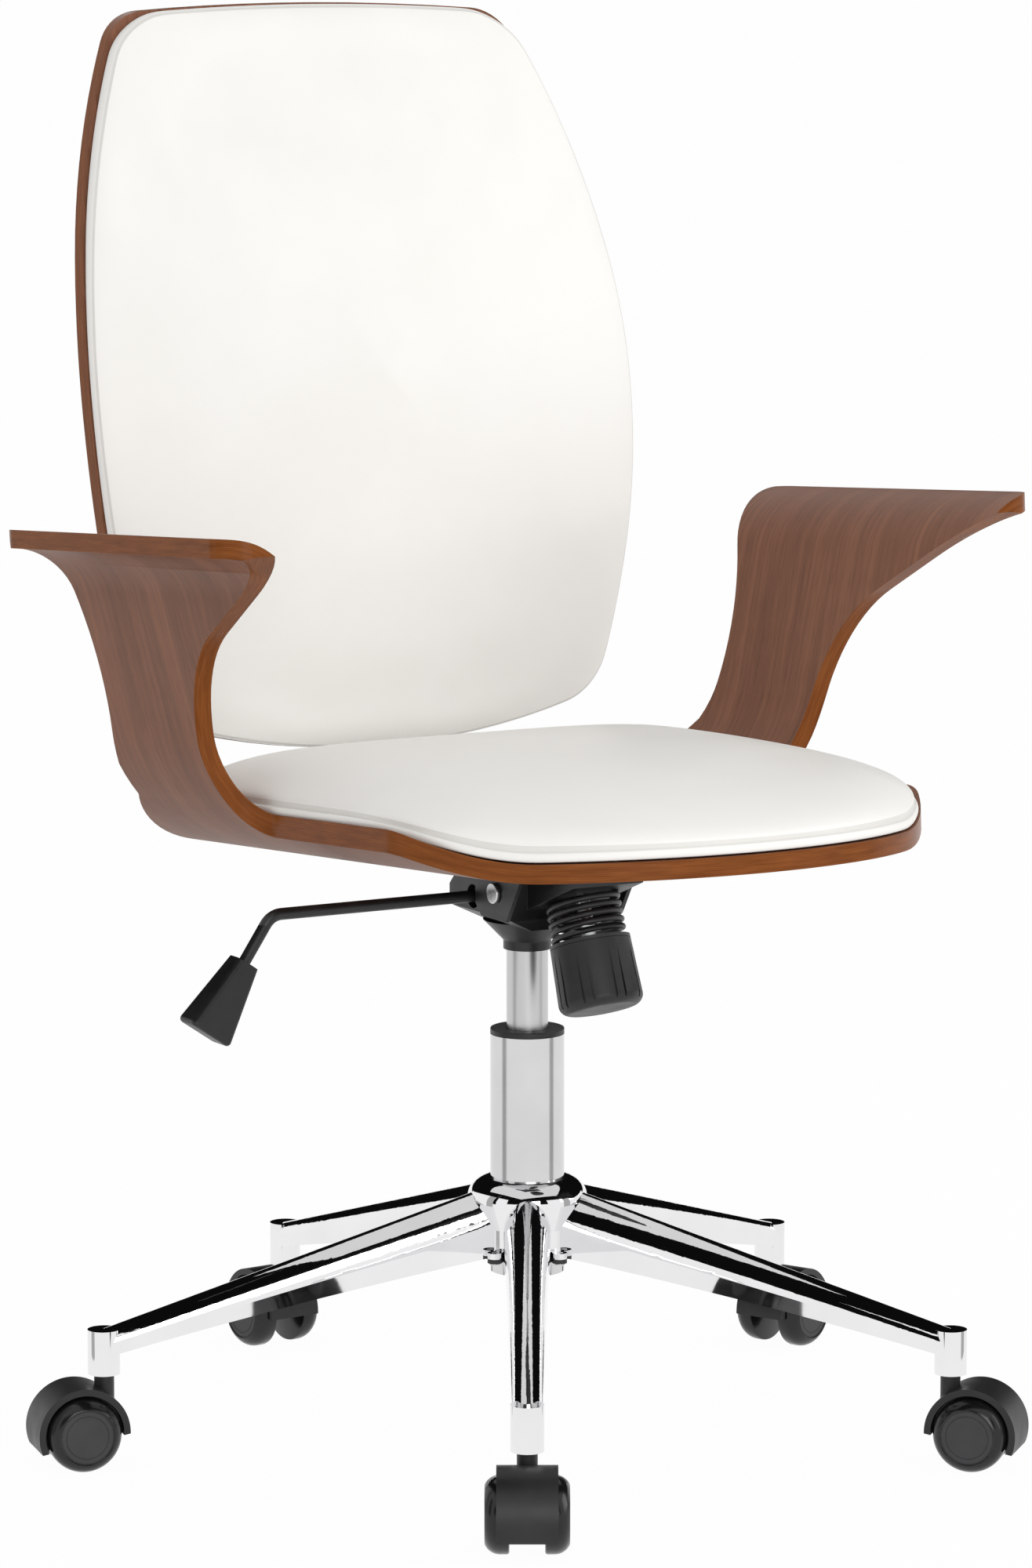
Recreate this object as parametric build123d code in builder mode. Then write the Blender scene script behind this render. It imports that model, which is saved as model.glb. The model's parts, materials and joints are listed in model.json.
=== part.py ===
"""Swivel desk chair with a bent plywood seat shell, padded seat and back, and a five-leg caster base.

Frame: +Z up, origin on the floor under the column axis, front of the chair towards -Y,
sitter's left towards +X. Millimetres. At rest the column is at its lowest, the seat is on its
front tilt stop and the casters trail outward.
"""
import os
from math import atan2, cos, degrees, radians, sin, sqrt, tan

from build123d import *

# Fits
RUNNING_GAP = 0.05          # radial play of a shaft in its bore
SIDE_GAP = 0.3              # play beside a turning piece
SOFT_GAP = 0.3              # play between a cushion and the ply under it

# Five-leg base
LEG_COUNT = 5
FIRST_LEG_HEADING = 240.0   # degrees from +X
SOCKET_CIRCLE_R = 295.5
SOCKET_R = 10.8
SOCKET_BOTTOM_Z = 61.5
SOCKET_H = 30.0
LEG_ROOT_R = 20.0           # where the leg's form starts, inside the hub
LEG_ROOT_WIDTH = 33.0
LEG_ROOT_BOTTOM_Z = 126.5
LEG_ROOT_H = 46.0
LEG_MID_WIDTH = 25.0
LEG_MID_H = 29.0
LEG_TIP_WIDTH = 20.0
LEG_TIP_H = 17.0
LEG_WALL = 2.0
LEG_CROWN = 0.62            # height of the arched ridge as a share of the leg's height
HUB_BOTTOM_Z = 125.5
HUB_H = 50.5
HUB_WALL_R = 33.0
HUB_WALL_H = 18.0
HUB_SHOULDER_R = 40.5
HUB_SHOULDER_H = 36.0
HUB_MOUTH_R = 27.5
HUB_PLATE_T = 3.0
HUB_LUG_H = 4.0
HUB_EAR_R = 37.0
HUB_EAR_TIP_R = 5.0
RIVET_R = 2.2
RIVET_HEAD_R = 3.6
RIVET_HEAD_H = 1.6

# Column with gas lift
TUBE_R = 25.0
TUBE_WALL = 1.5
TUBE_BOTTOM_Z = 111.5
TUBE_FLOOR_T = 4.0
COLLAR_TOP_Z = 278.2
COLLAR_H = 4.0
BUSH_H = 66.0
CYLINDER_R = 14.0
CYLINDER_WALL = 2.0
CYLINDER_END_T = 6.0
CYLINDER_TOP_Z = 361.5
ROD_R = 5.0
ROD_SPIGOT_R = 4.0
ROD_TAIL = 7.0              # spigot below the tube floor
PISTON_H = 12.0
PISTON_TOP_CLEAR = 18.0     # under the cylinder's top end at the lowest height
RACE_R = 20.0
RACE_T = 2.0
RACE_BORE_PLAY = 1.0        # around the rod
BALL_R = 2.5
BALL_COUNT = 12
BALL_CIRCLE_R = 14.0
BALL_PLAY = 0.1
BUFFER_R = 11.0
BUFFER_H = 12.0
CLIP_R = 8.0
CLIP_T = 1.2
PIN_R = 3.0                 # valve pin on top of the cylinder
PIN_H = 8.0

# Tilt mechanism
PIVOT_Y = -36.4
PIVOT_Z = 378.5
PIVOT_R = 5.0
PIVOT_HEAD_R = 7.0
PIVOT_HEAD_T = 3.0
HOUSING_HALF_W = 42.0
HOUSING_WALL = 5.0
HOUSING_FRONT_Y = -47.0
HOUSING_BACK_Y = 32.0
HOUSING_BOTTOM_Z = 352.5
HOUSING_TOP_Z = 387.5
HOUSING_FLOOR_T = 6.0
HOUSING_CHAMFER = 12.0
HOUSING_SIDE_RISE = 9.0     # from the floor to the side walls' lower edge
HOUSING_FLOOR_HALF_W = 24.0
SOCKET_RING_R = 16.2
SOCKET_RING_H = 6.0
SOCKET_MOUTH_Z = 332.3      # bottom of the housing's cylinder socket
CONE_TOP_R = 30.0
NOSE_HALF_W = 27.0
NOSE_FRONT_Y = -106.0
NOSE_TOP_Z = 396.5
LEVER_Z = 371.0
LEVER_PIVOT_X = -24.0
LEVER_ROD_R = 4.0
LEVER_INNER_X = 9.0
LEVER_BEND_X = -194.0
LEVER_BEND_R = 14.0
LEVER_DROP_ANGLE = 56.0
LEVER_WINDOW_R = 8.0
LEVER_BUSH_SIZE = 12.0
LEVER_BUSH_DEPTH = 13.0
TRUNNION_R = 3.0
EAR_T = 4.0
EAR_W = 12.0
EAR_RISE = 8.0              # ear above the trunnion's middle
GRIP_START = 36.0           # along the lever's sloping end, from the bend's corner
GRIP_LENGTH = 54.0
GRIP_NECK_W = 17.0
GRIP_END_W = 34.0
GRIP_END_T = 24.0
GRIP_CORNER_R = 4.0
GRIP_EDGE_R = 3.0
GRIP_COVER = 14.0           # length of rod held inside the grip
SPRING_AXIS_TILT = 20.8     # degrees, foot of the spring towards the front
SPRING_TOP_Y = -72.2
SPRING_TOP_Z = 376.7
SPRING_LENGTH = 29.3
SPRING_R = 23.2             # to the middle of the wire
SPRING_WIRE_R = 2.1
SPRING_TURNS = 4.75
BOLT_R = 5.0
BOLT_SLOT_R = 12.0
BOLT_HEAD_R = 9.0
BOLT_HEAD_T = 4.0
KNOB_R = 28.5
KNOB_TOP_R = 27.0
KNOB_H = 44.0
KNOB_EDGE_R = 7.0           # rounding of the lower edge
KNOB_FLOOR = 8.0            # solid end under the bolt
KNOB_GROOVE_PAIRS = 8
KNOB_GROOVE_W = 1.6
KNOB_GROOVE_TURN = 7.0      # degrees from a pair's middle to each of its grooves
KNOB_GROOVE_DEPTH = 1.4
KNOB_PLAIN_BAND = 4.0
WASHER_T = 2.5
PLATE_T = 3.0
PLATE_HALF_W = 102.0
PLATE_HALF_L = 74.0
PLATE_CORNER_R = 14.0
PLATE_WAIST_R = 60.0
PLATE_WAIST_DEPTH = 26.0
CHEEK_T = 3.0
CHEEK_BOTTOM_Z = 360.5
CHEEK_FRONT_Y = -74.0
CHEEK_BACK_Y = -9.0
CHEEK_TOE_Y = -50.0         # front end of the cheek's lower edge
CHEEK_LIP = 8.0             # upright front edge under the plate
CHEEK_CHAMFER = 8.0
SEAT_BOLT_X = 86.0
SEAT_BOLT_Y = 56.0
SCREW_R = 3.0
SCREW_HEAD_R = 6.0
SCREW_HEAD_H = 3.5
SCREW_REACH = 8.0           # into the ply
INSERT_R = 5.0

# Bent plywood seat shell, in the seat's own tilted frame
SEAT_Z = 416.7              # top of the flat middle over the column axis
SEAT_TILT = 4.0             # degrees, front higher
SHELL_T = 12.2
FLAT_HALF_W = 135.3
BEND_R = 99.0
ARM_LEAN = 13.4             # degrees off upright
ARM_STRAIGHT = 97.2
FLARE_R = 51.2
ARM_TOP_SLOPE = 3.0
ARM_LIP = 4.0
SEAT_FRONT_R = 215.0
SEAT_FRONT_Y = -303.0
SEAT_SIDE_X = 197.0
SEAT_CORNER_R = 55.0
SEAT_REAR_Y = 190.0
NOTCH_Y = 5.0
NOTCH_R = 20.0
ARM_ROOT_Z = 50.0
ARM_FRONT_R = 104.0
ARM_FRONT_TURN = 65.0
ARM_FRONT_TIP_Y = -170.0
ARM_REAR_ROOT_Y = 137.0
ARM_REAR_WAIST_Y = 122.0
ARM_REAR_WAIST_Z = 115.0
ARM_REAR_TOP_Y = 163.0
ARM_CORNER_R = 24.0

# Seat cushion
SEAT_CUSHION_INSET = 3.0
SEAT_CUSHION_REAR_R = 84.0
SEAT_CROWN = 55.0
# Stations along the seat: distance behind the column axis, height at the sides, height in the middle
SEAT_CUSHION_STATIONS = (
    (-303.0, 10.0, 16.0),
    (-240.0, 15.0, 31.0),
    (-150.0, 27.0, 42.0),
    (-60.0, 40.0, 51.0),
    (40.0, 45.0, SEAT_CROWN),
    (130.0, 43.0, 54.0),
    (190.0, 28.0, 38.0),
)

# Back shell and cushion
BACK_FACE_Y = 217.0         # front face of the back ply, low down
BACK_BOTTOM_Z = 443.5
BACK_TOP_Z = 958.5
BACK_BEND_Z = 573.5
BACK_BEND_R = 690.0
BACK_LEAN = 18.5
BACK_T = 11.0
BACK_WIDE_Z = 693.5
BACK_HALF_W = 212.5
BACK_UPPER_R = 575.0
BACK_LOWER_R = 700.0
BACK_BOTTOM_R = 550.0
BACK_TOP_R = 1850.0
BACK_TOP_CORNER_R = 36.0
BACK_LOW_CORNER_R = 28.0
BACK_RIM = 12.0
BACK_CUSHION_INSET = 2.0
# Stations up the back cushion: share of its height, rise of the middle over the rim
BACK_CUSHION_STATIONS = (
    (0.0, 4.0),
    (0.15, 15.0),
    (0.3, 22.0),
    (0.45, 25.0),
    (0.6, 25.0),
    (0.75, 21.0),
    (0.9, 12.0),
    (1.0, 4.0),
)
BRACKET_HALF_W = 27.0
BRACKET_T = 6.0
BRACKET_LAP = 108.0         # along the seat underside, from its rear edge
BRACKET_BEND_R = 24.0
BRACKET_DROP = 6.0          # top end below the start of the back's bend
BRACKET_SCREW_STEP = 46.0
BRACKET_SCREW_EDGE = 24.0
BACK_SCREW_X = 15.0
BACK_SCREW_LOW_Z = 488.5
BACK_SCREW_STEP = 55.0

# Twin-wheel casters
WHEEL_R = 25.0
WHEEL_W = 15.6
WHEEL_GAP = 22.4            # between the inner faces of a pair
WHEEL_TREAD_W = 6.0
WHEEL_INNER_EDGE_R = 1.5
WHEEL_DISC_R = 19.0
WHEEL_DISC_DEPTH = 1.0
CASTER_TRAIL = 18.0
AXLE_R = 3.0
AXLE_BOSS_R = 7.0
AXLE_END_COVER = 2.0
HOOD_OUTER_R = 31.0
HOOD_INNER_R = 26.6
HOOD_W = 39.0
HOOD_OUTER_SKIRT = 12.0     # below axle height, on the side away from the stem
HOOD_INNER_SKIRT = 1.0      # below axle height, on the stem side
NECK_R = 6.65
STEM_R = 5.0
STEM_BOTTOM_Z = 42.0
STEM_TOP_COVER = 3.0


def save(builder, label):
    """Label a finished piece and write it under its own name."""
    builder.part.label = label
    export_step(builder.part, f"parts/{label}.step")


def post(plane, radius, height, mode=Mode.ADD):
    """Round post standing on a plane, or the hole for one."""
    with BuildSketch(plane) as outline:
        Circle(radius)
    extrude(outline.sketch, amount=height, mode=mode)


def collar(plane, outer, inner, height):
    """Plain ring standing on a plane."""
    with BuildSketch(plane) as outline:
        Circle(outer)
        Circle(inner, mode=Mode.SUBTRACT)
    extrude(outline.sketch, amount=height)


def arc_between(centre, start, end):
    """Arc about a centre from one point to another, the short way round."""
    first = degrees(atan2(start[1] - centre[1], start[0] - centre[0]))
    last = degrees(atan2(end[1] - centre[1], end[0] - centre[0]))
    span = (last - first + 180) % 360 - 180
    radius = sqrt((start[0] - centre[0]) ** 2 + (start[1] - centre[1]) ** 2)
    return CenterArc(centre, radius, first, span)


def circles_meet(centre_a, radius_a, centre_b, radius_b, turn):
    """Crossing of two circles on the chosen side of the line from the first centre to the second."""
    dx, dy = centre_b[0] - centre_a[0], centre_b[1] - centre_a[1]
    apart = sqrt(dx * dx + dy * dy)
    along = (apart * apart + radius_a**2 - radius_b**2) / (2 * apart)
    off = turn * sqrt(radius_a**2 - along * along)
    return (
        centre_a[0] + (dx * along - dy * off) / apart,
        centre_a[1] + (dy * along + dx * off) / apart,
    )


def near(shape, spot):
    """Corner of a sketch nearest to a spot."""
    return shape.vertices().sort_by_distance((spot[0], spot[1], 0))[0]


os.makedirs("parts", exist_ok=True)

# Planes and headings shared by several pieces
tilt = radians(SEAT_TILT)
seat_back = Vector(0, cos(tilt), -sin(tilt))
seat_up = Vector(0, sin(tilt), cos(tilt))
seat_plane = Plane(origin=(0, 0, SEAT_Z), x_dir=(1, 0, 0), z_dir=seat_up)
seat_side_plane = Plane(origin=(0, 0, SEAT_Z), x_dir=seat_back, z_dir=(1, 0, 0))
under_seat = seat_plane.offset(-SHELL_T)
leg_headings = [FIRST_LEG_HEADING + 360 / LEG_COUNT * k for k in range(LEG_COUNT)]
ear_headings = [heading + 180 / LEG_COUNT for heading in leg_headings]


def heading_plane(heading, radius=0.0, z=0.0):
    """Plane whose X points outward along a heading and whose Z is up."""
    out = Vector(cos(radians(heading)), sin(radians(heading)), 0)
    return Plane(origin=out * radius + Vector(0, 0, z), x_dir=out, z_dir=(0, 0, 1))


def seat_section(y):
    """Upright plane across the seat, a distance behind the column axis; its Y is the seat's up."""
    return Plane(origin=seat_plane.from_local_coords((0, y, 0)), x_dir=(1, 0, 0), z_dir=-seat_back)


# Hub of the base, with lugs between the legs
with BuildPart() as hub_blank:
    with BuildSketch(Plane.XZ):
        with BuildLine():
            hub_top = HUB_BOTTOM_Z + HUB_H
            shoulder = (HUB_SHOULDER_R, HUB_BOTTOM_Z + HUB_SHOULDER_H)
            wall = Polyline(
                (0, HUB_BOTTOM_Z),
                (HUB_WALL_R, HUB_BOTTOM_Z),
                (HUB_WALL_R, HUB_BOTTOM_Z + HUB_WALL_H),
                shoulder,
            )
            dome = TangentArc(wall @ 1, (HUB_MOUTH_R, hub_top), tangent=(0, 1))
            Polyline(dome @ 1, (0, hub_top), wall @ 0)
        make_face()
    revolve(axis=Axis.Z)

with BuildPart() as base_hub:
    add(hub_blank.part)
    for heading in ear_headings:
        post(heading_plane(heading, HUB_EAR_R, HUB_BOTTOM_Z), HUB_EAR_TIP_R, HUB_LUG_H)
    for heading in ear_headings:
        post(heading_plane(heading, HUB_EAR_R, HUB_BOTTOM_Z), RIVET_R, HUB_LUG_H, Mode.SUBTRACT)
    post(Plane.XY.offset(HUB_BOTTOM_Z), TUBE_R + RUNNING_GAP, HUB_H, Mode.SUBTRACT)
save(base_hub, "base_hub")


# Plate that closes the hub below, riveted to the lugs
with BuildPart() as hub_plate:
    plate_bottom = HUB_BOTTOM_Z - HUB_PLATE_T
    post(Plane.XY.offset(plate_bottom), HUB_WALL_R, HUB_PLATE_T)
    for heading in ear_headings:
        post(heading_plane(heading, HUB_EAR_R, plate_bottom), HUB_EAR_TIP_R, HUB_PLATE_T)
    for heading in ear_headings:
        post(heading_plane(heading, HUB_EAR_R, plate_bottom), RIVET_R, HUB_PLATE_T, Mode.SUBTRACT)
    post(Plane.XY.offset(plate_bottom), TUBE_R + RUNNING_GAP, HUB_PLATE_T, Mode.SUBTRACT)
save(hub_plate, "hub_plate")


# Legs: pressed channels that taper from the hub to the caster socket
def leg_section(width, height, bottom, inset):
    """Arched section of a leg, or of its hollow when inset by the wall."""
    half = width / 2 - inset
    top = bottom + height - inset
    eave = top - LEG_CROWN * height
    foot = bottom - inset
    Polyline((-half, eave), (-half, foot), (half, foot), (half, eave))
    EllipticalCenterArc((0, eave), half, top - eave, arc_size=180)


def leg_form(heading, inset, mode):
    """Three-station loft of a leg's skin or of its hollow."""
    tip_top = SOCKET_BOTTOM_Z + SOCKET_H
    mid_top = (LEG_ROOT_BOTTOM_Z + LEG_ROOT_H + tip_top) / 2
    stations = (
        (LEG_ROOT_R, LEG_ROOT_WIDTH, LEG_ROOT_H, LEG_ROOT_BOTTOM_Z),
        ((LEG_ROOT_R + SOCKET_CIRCLE_R) / 2, LEG_MID_WIDTH, LEG_MID_H, mid_top - LEG_MID_H),
        (SOCKET_CIRCLE_R, LEG_TIP_WIDTH, LEG_TIP_H, tip_top - LEG_TIP_H),
    )
    sections = []
    for radius, width, height, bottom in stations:
        across = heading_plane(heading, radius)
        with BuildSketch(Plane(origin=across.origin, x_dir=-across.y_dir, z_dir=-across.x_dir)) as section:
            with BuildLine():
                leg_section(width, height, bottom, inset)
            make_face()
        sections.append(section.sketch)
    loft(sections, mode=mode)


stem_top_z = SOCKET_BOTTOM_Z + SOCKET_H - STEM_TOP_COVER
for number, heading in enumerate(leg_headings, start=1):
    with BuildPart() as leg:
        leg_form(heading, 0.0, Mode.ADD)
        leg_form(heading, LEG_WALL, Mode.SUBTRACT)
        socket = heading_plane(heading, SOCKET_CIRCLE_R, SOCKET_BOTTOM_Z)
        post(socket, SOCKET_R, SOCKET_H)
        post(socket, STEM_R, stem_top_z - SOCKET_BOTTOM_Z, Mode.SUBTRACT)
        add([hub_blank.part, hub_plate.part], mode=Mode.SUBTRACT)
    save(leg, f"leg_{number}")

# Rivets through the plate's ears into the lugs
with BuildPart() as hub_rivets:
    for heading in ear_headings:
        foot = heading_plane(heading, HUB_EAR_R, HUB_BOTTOM_Z - HUB_PLATE_T)
        post(foot, RIVET_R, HUB_PLATE_T + HUB_LUG_H)
        post(foot, RIVET_HEAD_R, -RIVET_HEAD_H)
save(hub_rivets, "hub_rivets")

# Column tube with its closed foot
tube_top = COLLAR_TOP_Z - COLLAR_H
tube_inner_r = TUBE_R - TUBE_WALL
race_z = TUBE_BOTTOM_Z + TUBE_FLOOR_T
with BuildPart() as column_tube:
    post(Plane.XY.offset(TUBE_BOTTOM_Z), TUBE_R, tube_top - TUBE_BOTTOM_Z)
    post(Plane.XY.offset(race_z), tube_inner_r, tube_top - race_z, Mode.SUBTRACT)
    post(Plane.XY.offset(TUBE_BOTTOM_Z), ROD_SPIGOT_R + RUNNING_GAP, TUBE_FLOOR_T, Mode.SUBTRACT)
save(column_tube, "column_tube")

# Guide bush with the collar that caps the tube
with BuildPart() as column_bush:
    bush_foot = Plane.XY.offset(tube_top - BUSH_H)
    post(bush_foot, tube_inner_r, BUSH_H)
    post(Plane.XY.offset(tube_top), TUBE_R, COLLAR_H)
    post(bush_foot, CYLINDER_R + RUNNING_GAP, BUSH_H + COLLAR_H, Mode.SUBTRACT)
save(column_bush, "column_bush")

# Thrust bearing on the tube floor
ball_z = race_z + RACE_T + BALL_R + BALL_PLAY
upper_race_z = ball_z + BALL_R + BALL_PLAY
with BuildPart() as bearing_race_lower:
    collar(Plane.XY.offset(race_z), RACE_R, ROD_R + RACE_BORE_PLAY, RACE_T)
save(bearing_race_lower, "bearing_race_lower")

with BuildPart() as bearing_balls:
    with Locations((0, 0, ball_z)):
        with PolarLocations(BALL_CIRCLE_R, BALL_COUNT):
            Sphere(BALL_R)
save(bearing_balls, "bearing_balls")

with BuildPart() as bearing_race_upper:
    collar(Plane.XY.offset(upper_race_z), RACE_R, ROD_SPIGOT_R, RACE_T)
save(bearing_race_upper, "bearing_race_upper")

# Piston rod: spigot through the tube floor, rod, and piston inside the cylinder
rod_shoulder_z = upper_race_z + RACE_T
cylinder_bottom_z = rod_shoulder_z + BUFFER_H + SIDE_GAP
piston_top_z = CYLINDER_TOP_Z - CYLINDER_END_T - PISTON_TOP_CLEAR
with BuildPart() as piston_rod:
    post(Plane.XY.offset(TUBE_BOTTOM_Z - ROD_TAIL), ROD_SPIGOT_R, rod_shoulder_z - TUBE_BOTTOM_Z + ROD_TAIL)
    post(Plane.XY.offset(rod_shoulder_z), ROD_R, piston_top_z - rod_shoulder_z)
    post(
        Plane.XY.offset(piston_top_z - PISTON_H),
        CYLINDER_R - CYLINDER_WALL - RUNNING_GAP,
        PISTON_H,
    )
save(piston_rod, "piston_rod")

with BuildPart() as rod_clip:
    collar(Plane.XY.offset(TUBE_BOTTOM_Z - SIDE_GAP - CLIP_T), CLIP_R, ROD_SPIGOT_R, CLIP_T)
save(rod_clip, "rod_clip")

with BuildPart() as rubber_buffer:
    collar(Plane.XY.offset(rod_shoulder_z), BUFFER_R, ROD_R, BUFFER_H)
save(rubber_buffer, "rubber_buffer")

# Gas cylinder that rises with the seat, and the valve pin on top of it
with BuildPart() as gas_cylinder:
    cylinder_foot = Plane.XY.offset(cylinder_bottom_z)
    cylinder_h = CYLINDER_TOP_Z - cylinder_bottom_z
    post(cylinder_foot, CYLINDER_R, cylinder_h)
    post(
        cylinder_foot.offset(CYLINDER_END_T),
        CYLINDER_R - CYLINDER_WALL,
        cylinder_h - 2 * CYLINDER_END_T,
        Mode.SUBTRACT,
    )
    post(cylinder_foot, ROD_R + RUNNING_GAP, CYLINDER_END_T, Mode.SUBTRACT)
    post(Plane.XY.offset(CYLINDER_TOP_Z), PIN_R + RUNNING_GAP, -CYLINDER_END_T, Mode.SUBTRACT)
save(gas_cylinder, "gas_cylinder")

with BuildPart() as valve_pin:
    post(Plane.XY.offset(LEVER_Z - LEVER_ROD_R - SIDE_GAP), PIN_R, -PIN_H)
save(valve_pin, "valve_pin")

# Axis of the tension spring and knob, pointing down and forward
spring_tilt = radians(SPRING_AXIS_TILT)
spring_down = Vector(0, -sin(spring_tilt), -cos(spring_tilt))
spring_top = Vector(0, SPRING_TOP_Y, SPRING_TOP_Z)


def spring_plane(distance):
    """Plane square to the spring axis, its Z pointing down the axis."""
    return Plane(origin=spring_top + spring_down * distance, x_dir=(1, 0, 0), z_dir=spring_down)


def nose_foot_z(y):
    """Underside of the housing's nose, square to the spring."""
    return SPRING_TOP_Z - tan(spring_tilt) * (y - SPRING_TOP_Y)


# Cast housing: cylinder socket, hollow box, lever ears and the nose that seats the spring
with BuildPart() as mechanism_housing:
    floor_top = HOUSING_BOTTOM_Z + HOUSING_FLOOR_T
    with BuildSketch(Plane.XZ):
        with BuildLine():
            Polyline(
                (0, SOCKET_MOUTH_Z),
                (SOCKET_RING_R, SOCKET_MOUTH_Z),
                (SOCKET_RING_R, SOCKET_MOUTH_Z + SOCKET_RING_H),
                (CONE_TOP_R, HOUSING_BOTTOM_Z),
                (CONE_TOP_R, floor_top),
                (0, floor_top),
                close=True,
            )
        make_face()
    revolve(axis=Axis.Z)
    with BuildSketch(Plane.YZ):
        with BuildLine():
            Polyline(
                (HOUSING_FRONT_Y, HOUSING_BOTTOM_Z),
                (HOUSING_BACK_Y - HOUSING_CHAMFER, HOUSING_BOTTOM_Z),
                (HOUSING_BACK_Y, HOUSING_BOTTOM_Z + HOUSING_CHAMFER),
                (HOUSING_BACK_Y, HOUSING_TOP_Z - HOUSING_CHAMFER),
                (HOUSING_BACK_Y - HOUSING_CHAMFER, HOUSING_TOP_Z),
                (HOUSING_FRONT_Y, HOUSING_TOP_Z),
                close=True,
            )
        make_face()
    extrude(amount=HOUSING_HALF_W, both=True)
    for side in (-1, 1):
        with BuildSketch(Plane.XZ):
            with BuildLine():
                Polyline(
                    (side * HOUSING_FLOOR_HALF_W, HOUSING_BOTTOM_Z),
                    (side * HOUSING_HALF_W, HOUSING_BOTTOM_Z + HOUSING_SIDE_RISE),
                    (side * HOUSING_HALF_W, HOUSING_BOTTOM_Z),
                    close=True,
                )
            make_face()
        extrude(amount=HOUSING_BACK_Y - HOUSING_FRONT_Y, both=True, mode=Mode.SUBTRACT)
    with BuildSketch(Plane.YZ):
        with BuildLine():
            wall_back_y = HOUSING_FRONT_Y + HOUSING_WALL
            Polyline(
                (wall_back_y, HOUSING_TOP_Z),
                (HOUSING_FRONT_Y, NOSE_TOP_Z),
                (NOSE_FRONT_Y, NOSE_TOP_Z),
                (NOSE_FRONT_Y, nose_foot_z(NOSE_FRONT_Y)),
                (HOUSING_FRONT_Y, nose_foot_z(HOUSING_FRONT_Y)),
                (wall_back_y, nose_foot_z(HOUSING_FRONT_Y)),
                close=True,
            )
        make_face()
    extrude(amount=NOSE_HALF_W, both=True)
    cavity_half_w = HOUSING_HALF_W - HOUSING_WALL
    with BuildSketch(Plane.XZ.offset(-wall_back_y)):
        with BuildLine():
            Polyline(
                (-HOUSING_FLOOR_HALF_W, floor_top),
                (HOUSING_FLOOR_HALF_W, floor_top),
                (cavity_half_w, HOUSING_BOTTOM_Z + HOUSING_SIDE_RISE + HOUSING_WALL / 2),
                (cavity_half_w, NOSE_TOP_Z),
                (-cavity_half_w, NOSE_TOP_Z),
                (-cavity_half_w, HOUSING_BOTTOM_Z + HOUSING_SIDE_RISE + HOUSING_WALL / 2),
                close=True,
            )
        make_face()
    extrude(amount=wall_back_y - HOUSING_BACK_Y + HOUSING_WALL, mode=Mode.SUBTRACT)
    for side in (-1, 1):
        ear_y = side * (LEVER_BUSH_DEPTH / 2 + SIDE_GAP + EAR_T / 2)
        with BuildSketch(Plane.XZ.offset(-ear_y)):
            with Locations((LEVER_PIVOT_X, floor_top)):
                Rectangle(EAR_W, LEVER_Z + EAR_RISE - floor_top, align=(Align.CENTER, Align.MIN))
            with Locations((LEVER_PIVOT_X, LEVER_Z)):
                Circle(TRUNNION_R + RUNNING_GAP, mode=Mode.SUBTRACT)
        extrude(amount=EAR_T / 2, both=True)
    window = Plane(origin=(-HOUSING_HALF_W, 0, LEVER_Z), x_dir=(0, 1, 0), z_dir=(1, 0, 0))
    post(window, LEVER_WINDOW_R, HOUSING_WALL, Mode.SUBTRACT)
    with BuildSketch(Plane.YZ):
        with Locations((PIVOT_Y, PIVOT_Z)):
            Circle(PIVOT_R)
    extrude(amount=HOUSING_HALF_W, both=True, mode=Mode.SUBTRACT)
    post(Plane.XY.offset(SOCKET_MOUTH_Z), CYLINDER_R, CYLINDER_TOP_Z - SOCKET_MOUTH_Z, Mode.SUBTRACT)
    post(spring_plane(0), BOLT_SLOT_R, SPRING_TOP_Z - PIVOT_Z - SPRING_LENGTH, Mode.SUBTRACT)
save(mechanism_housing, "mechanism_housing")

# Pivot pin of the tilt, with a head outside each cheek
cheek_inner_x = HOUSING_HALF_W + SIDE_GAP
pin_head_x = cheek_inner_x + CHEEK_T + SIDE_GAP
with BuildPart() as pivot_pin:
    with BuildSketch(Plane.YZ):
        with Locations((PIVOT_Y, PIVOT_Z)):
            Circle(PIVOT_R)
    extrude(amount=pin_head_x, both=True)
    for side in (-1, 1):
        with BuildSketch(Plane.YZ.offset(side * pin_head_x)):
            with Locations((PIVOT_Y, PIVOT_Z)):
                Circle(PIVOT_HEAD_R)
        extrude(amount=side * PIVOT_HEAD_T)
save(pivot_pin, "pivot_pin")

# Lever: bush on trunnions, bent rod fixed in the bush, and moulded grip
with BuildPart() as lever_bush:
    with Locations((LEVER_PIVOT_X, 0, LEVER_Z)):
        Box(LEVER_BUSH_SIZE, LEVER_BUSH_DEPTH, LEVER_BUSH_SIZE)
    with BuildSketch(Plane.XZ):
        with Locations((LEVER_PIVOT_X, LEVER_Z)):
            Circle(TRUNNION_R)
    extrude(amount=LEVER_BUSH_DEPTH / 2 + SIDE_GAP + EAR_T, both=True)
    with BuildSketch(Plane.YZ.offset(LEVER_PIVOT_X)):
        with Locations((0, LEVER_Z)):
            Circle(LEVER_ROD_R)
    extrude(amount=LEVER_BUSH_SIZE, both=True, mode=Mode.SUBTRACT)
save(lever_bush, "lever_bush")

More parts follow.
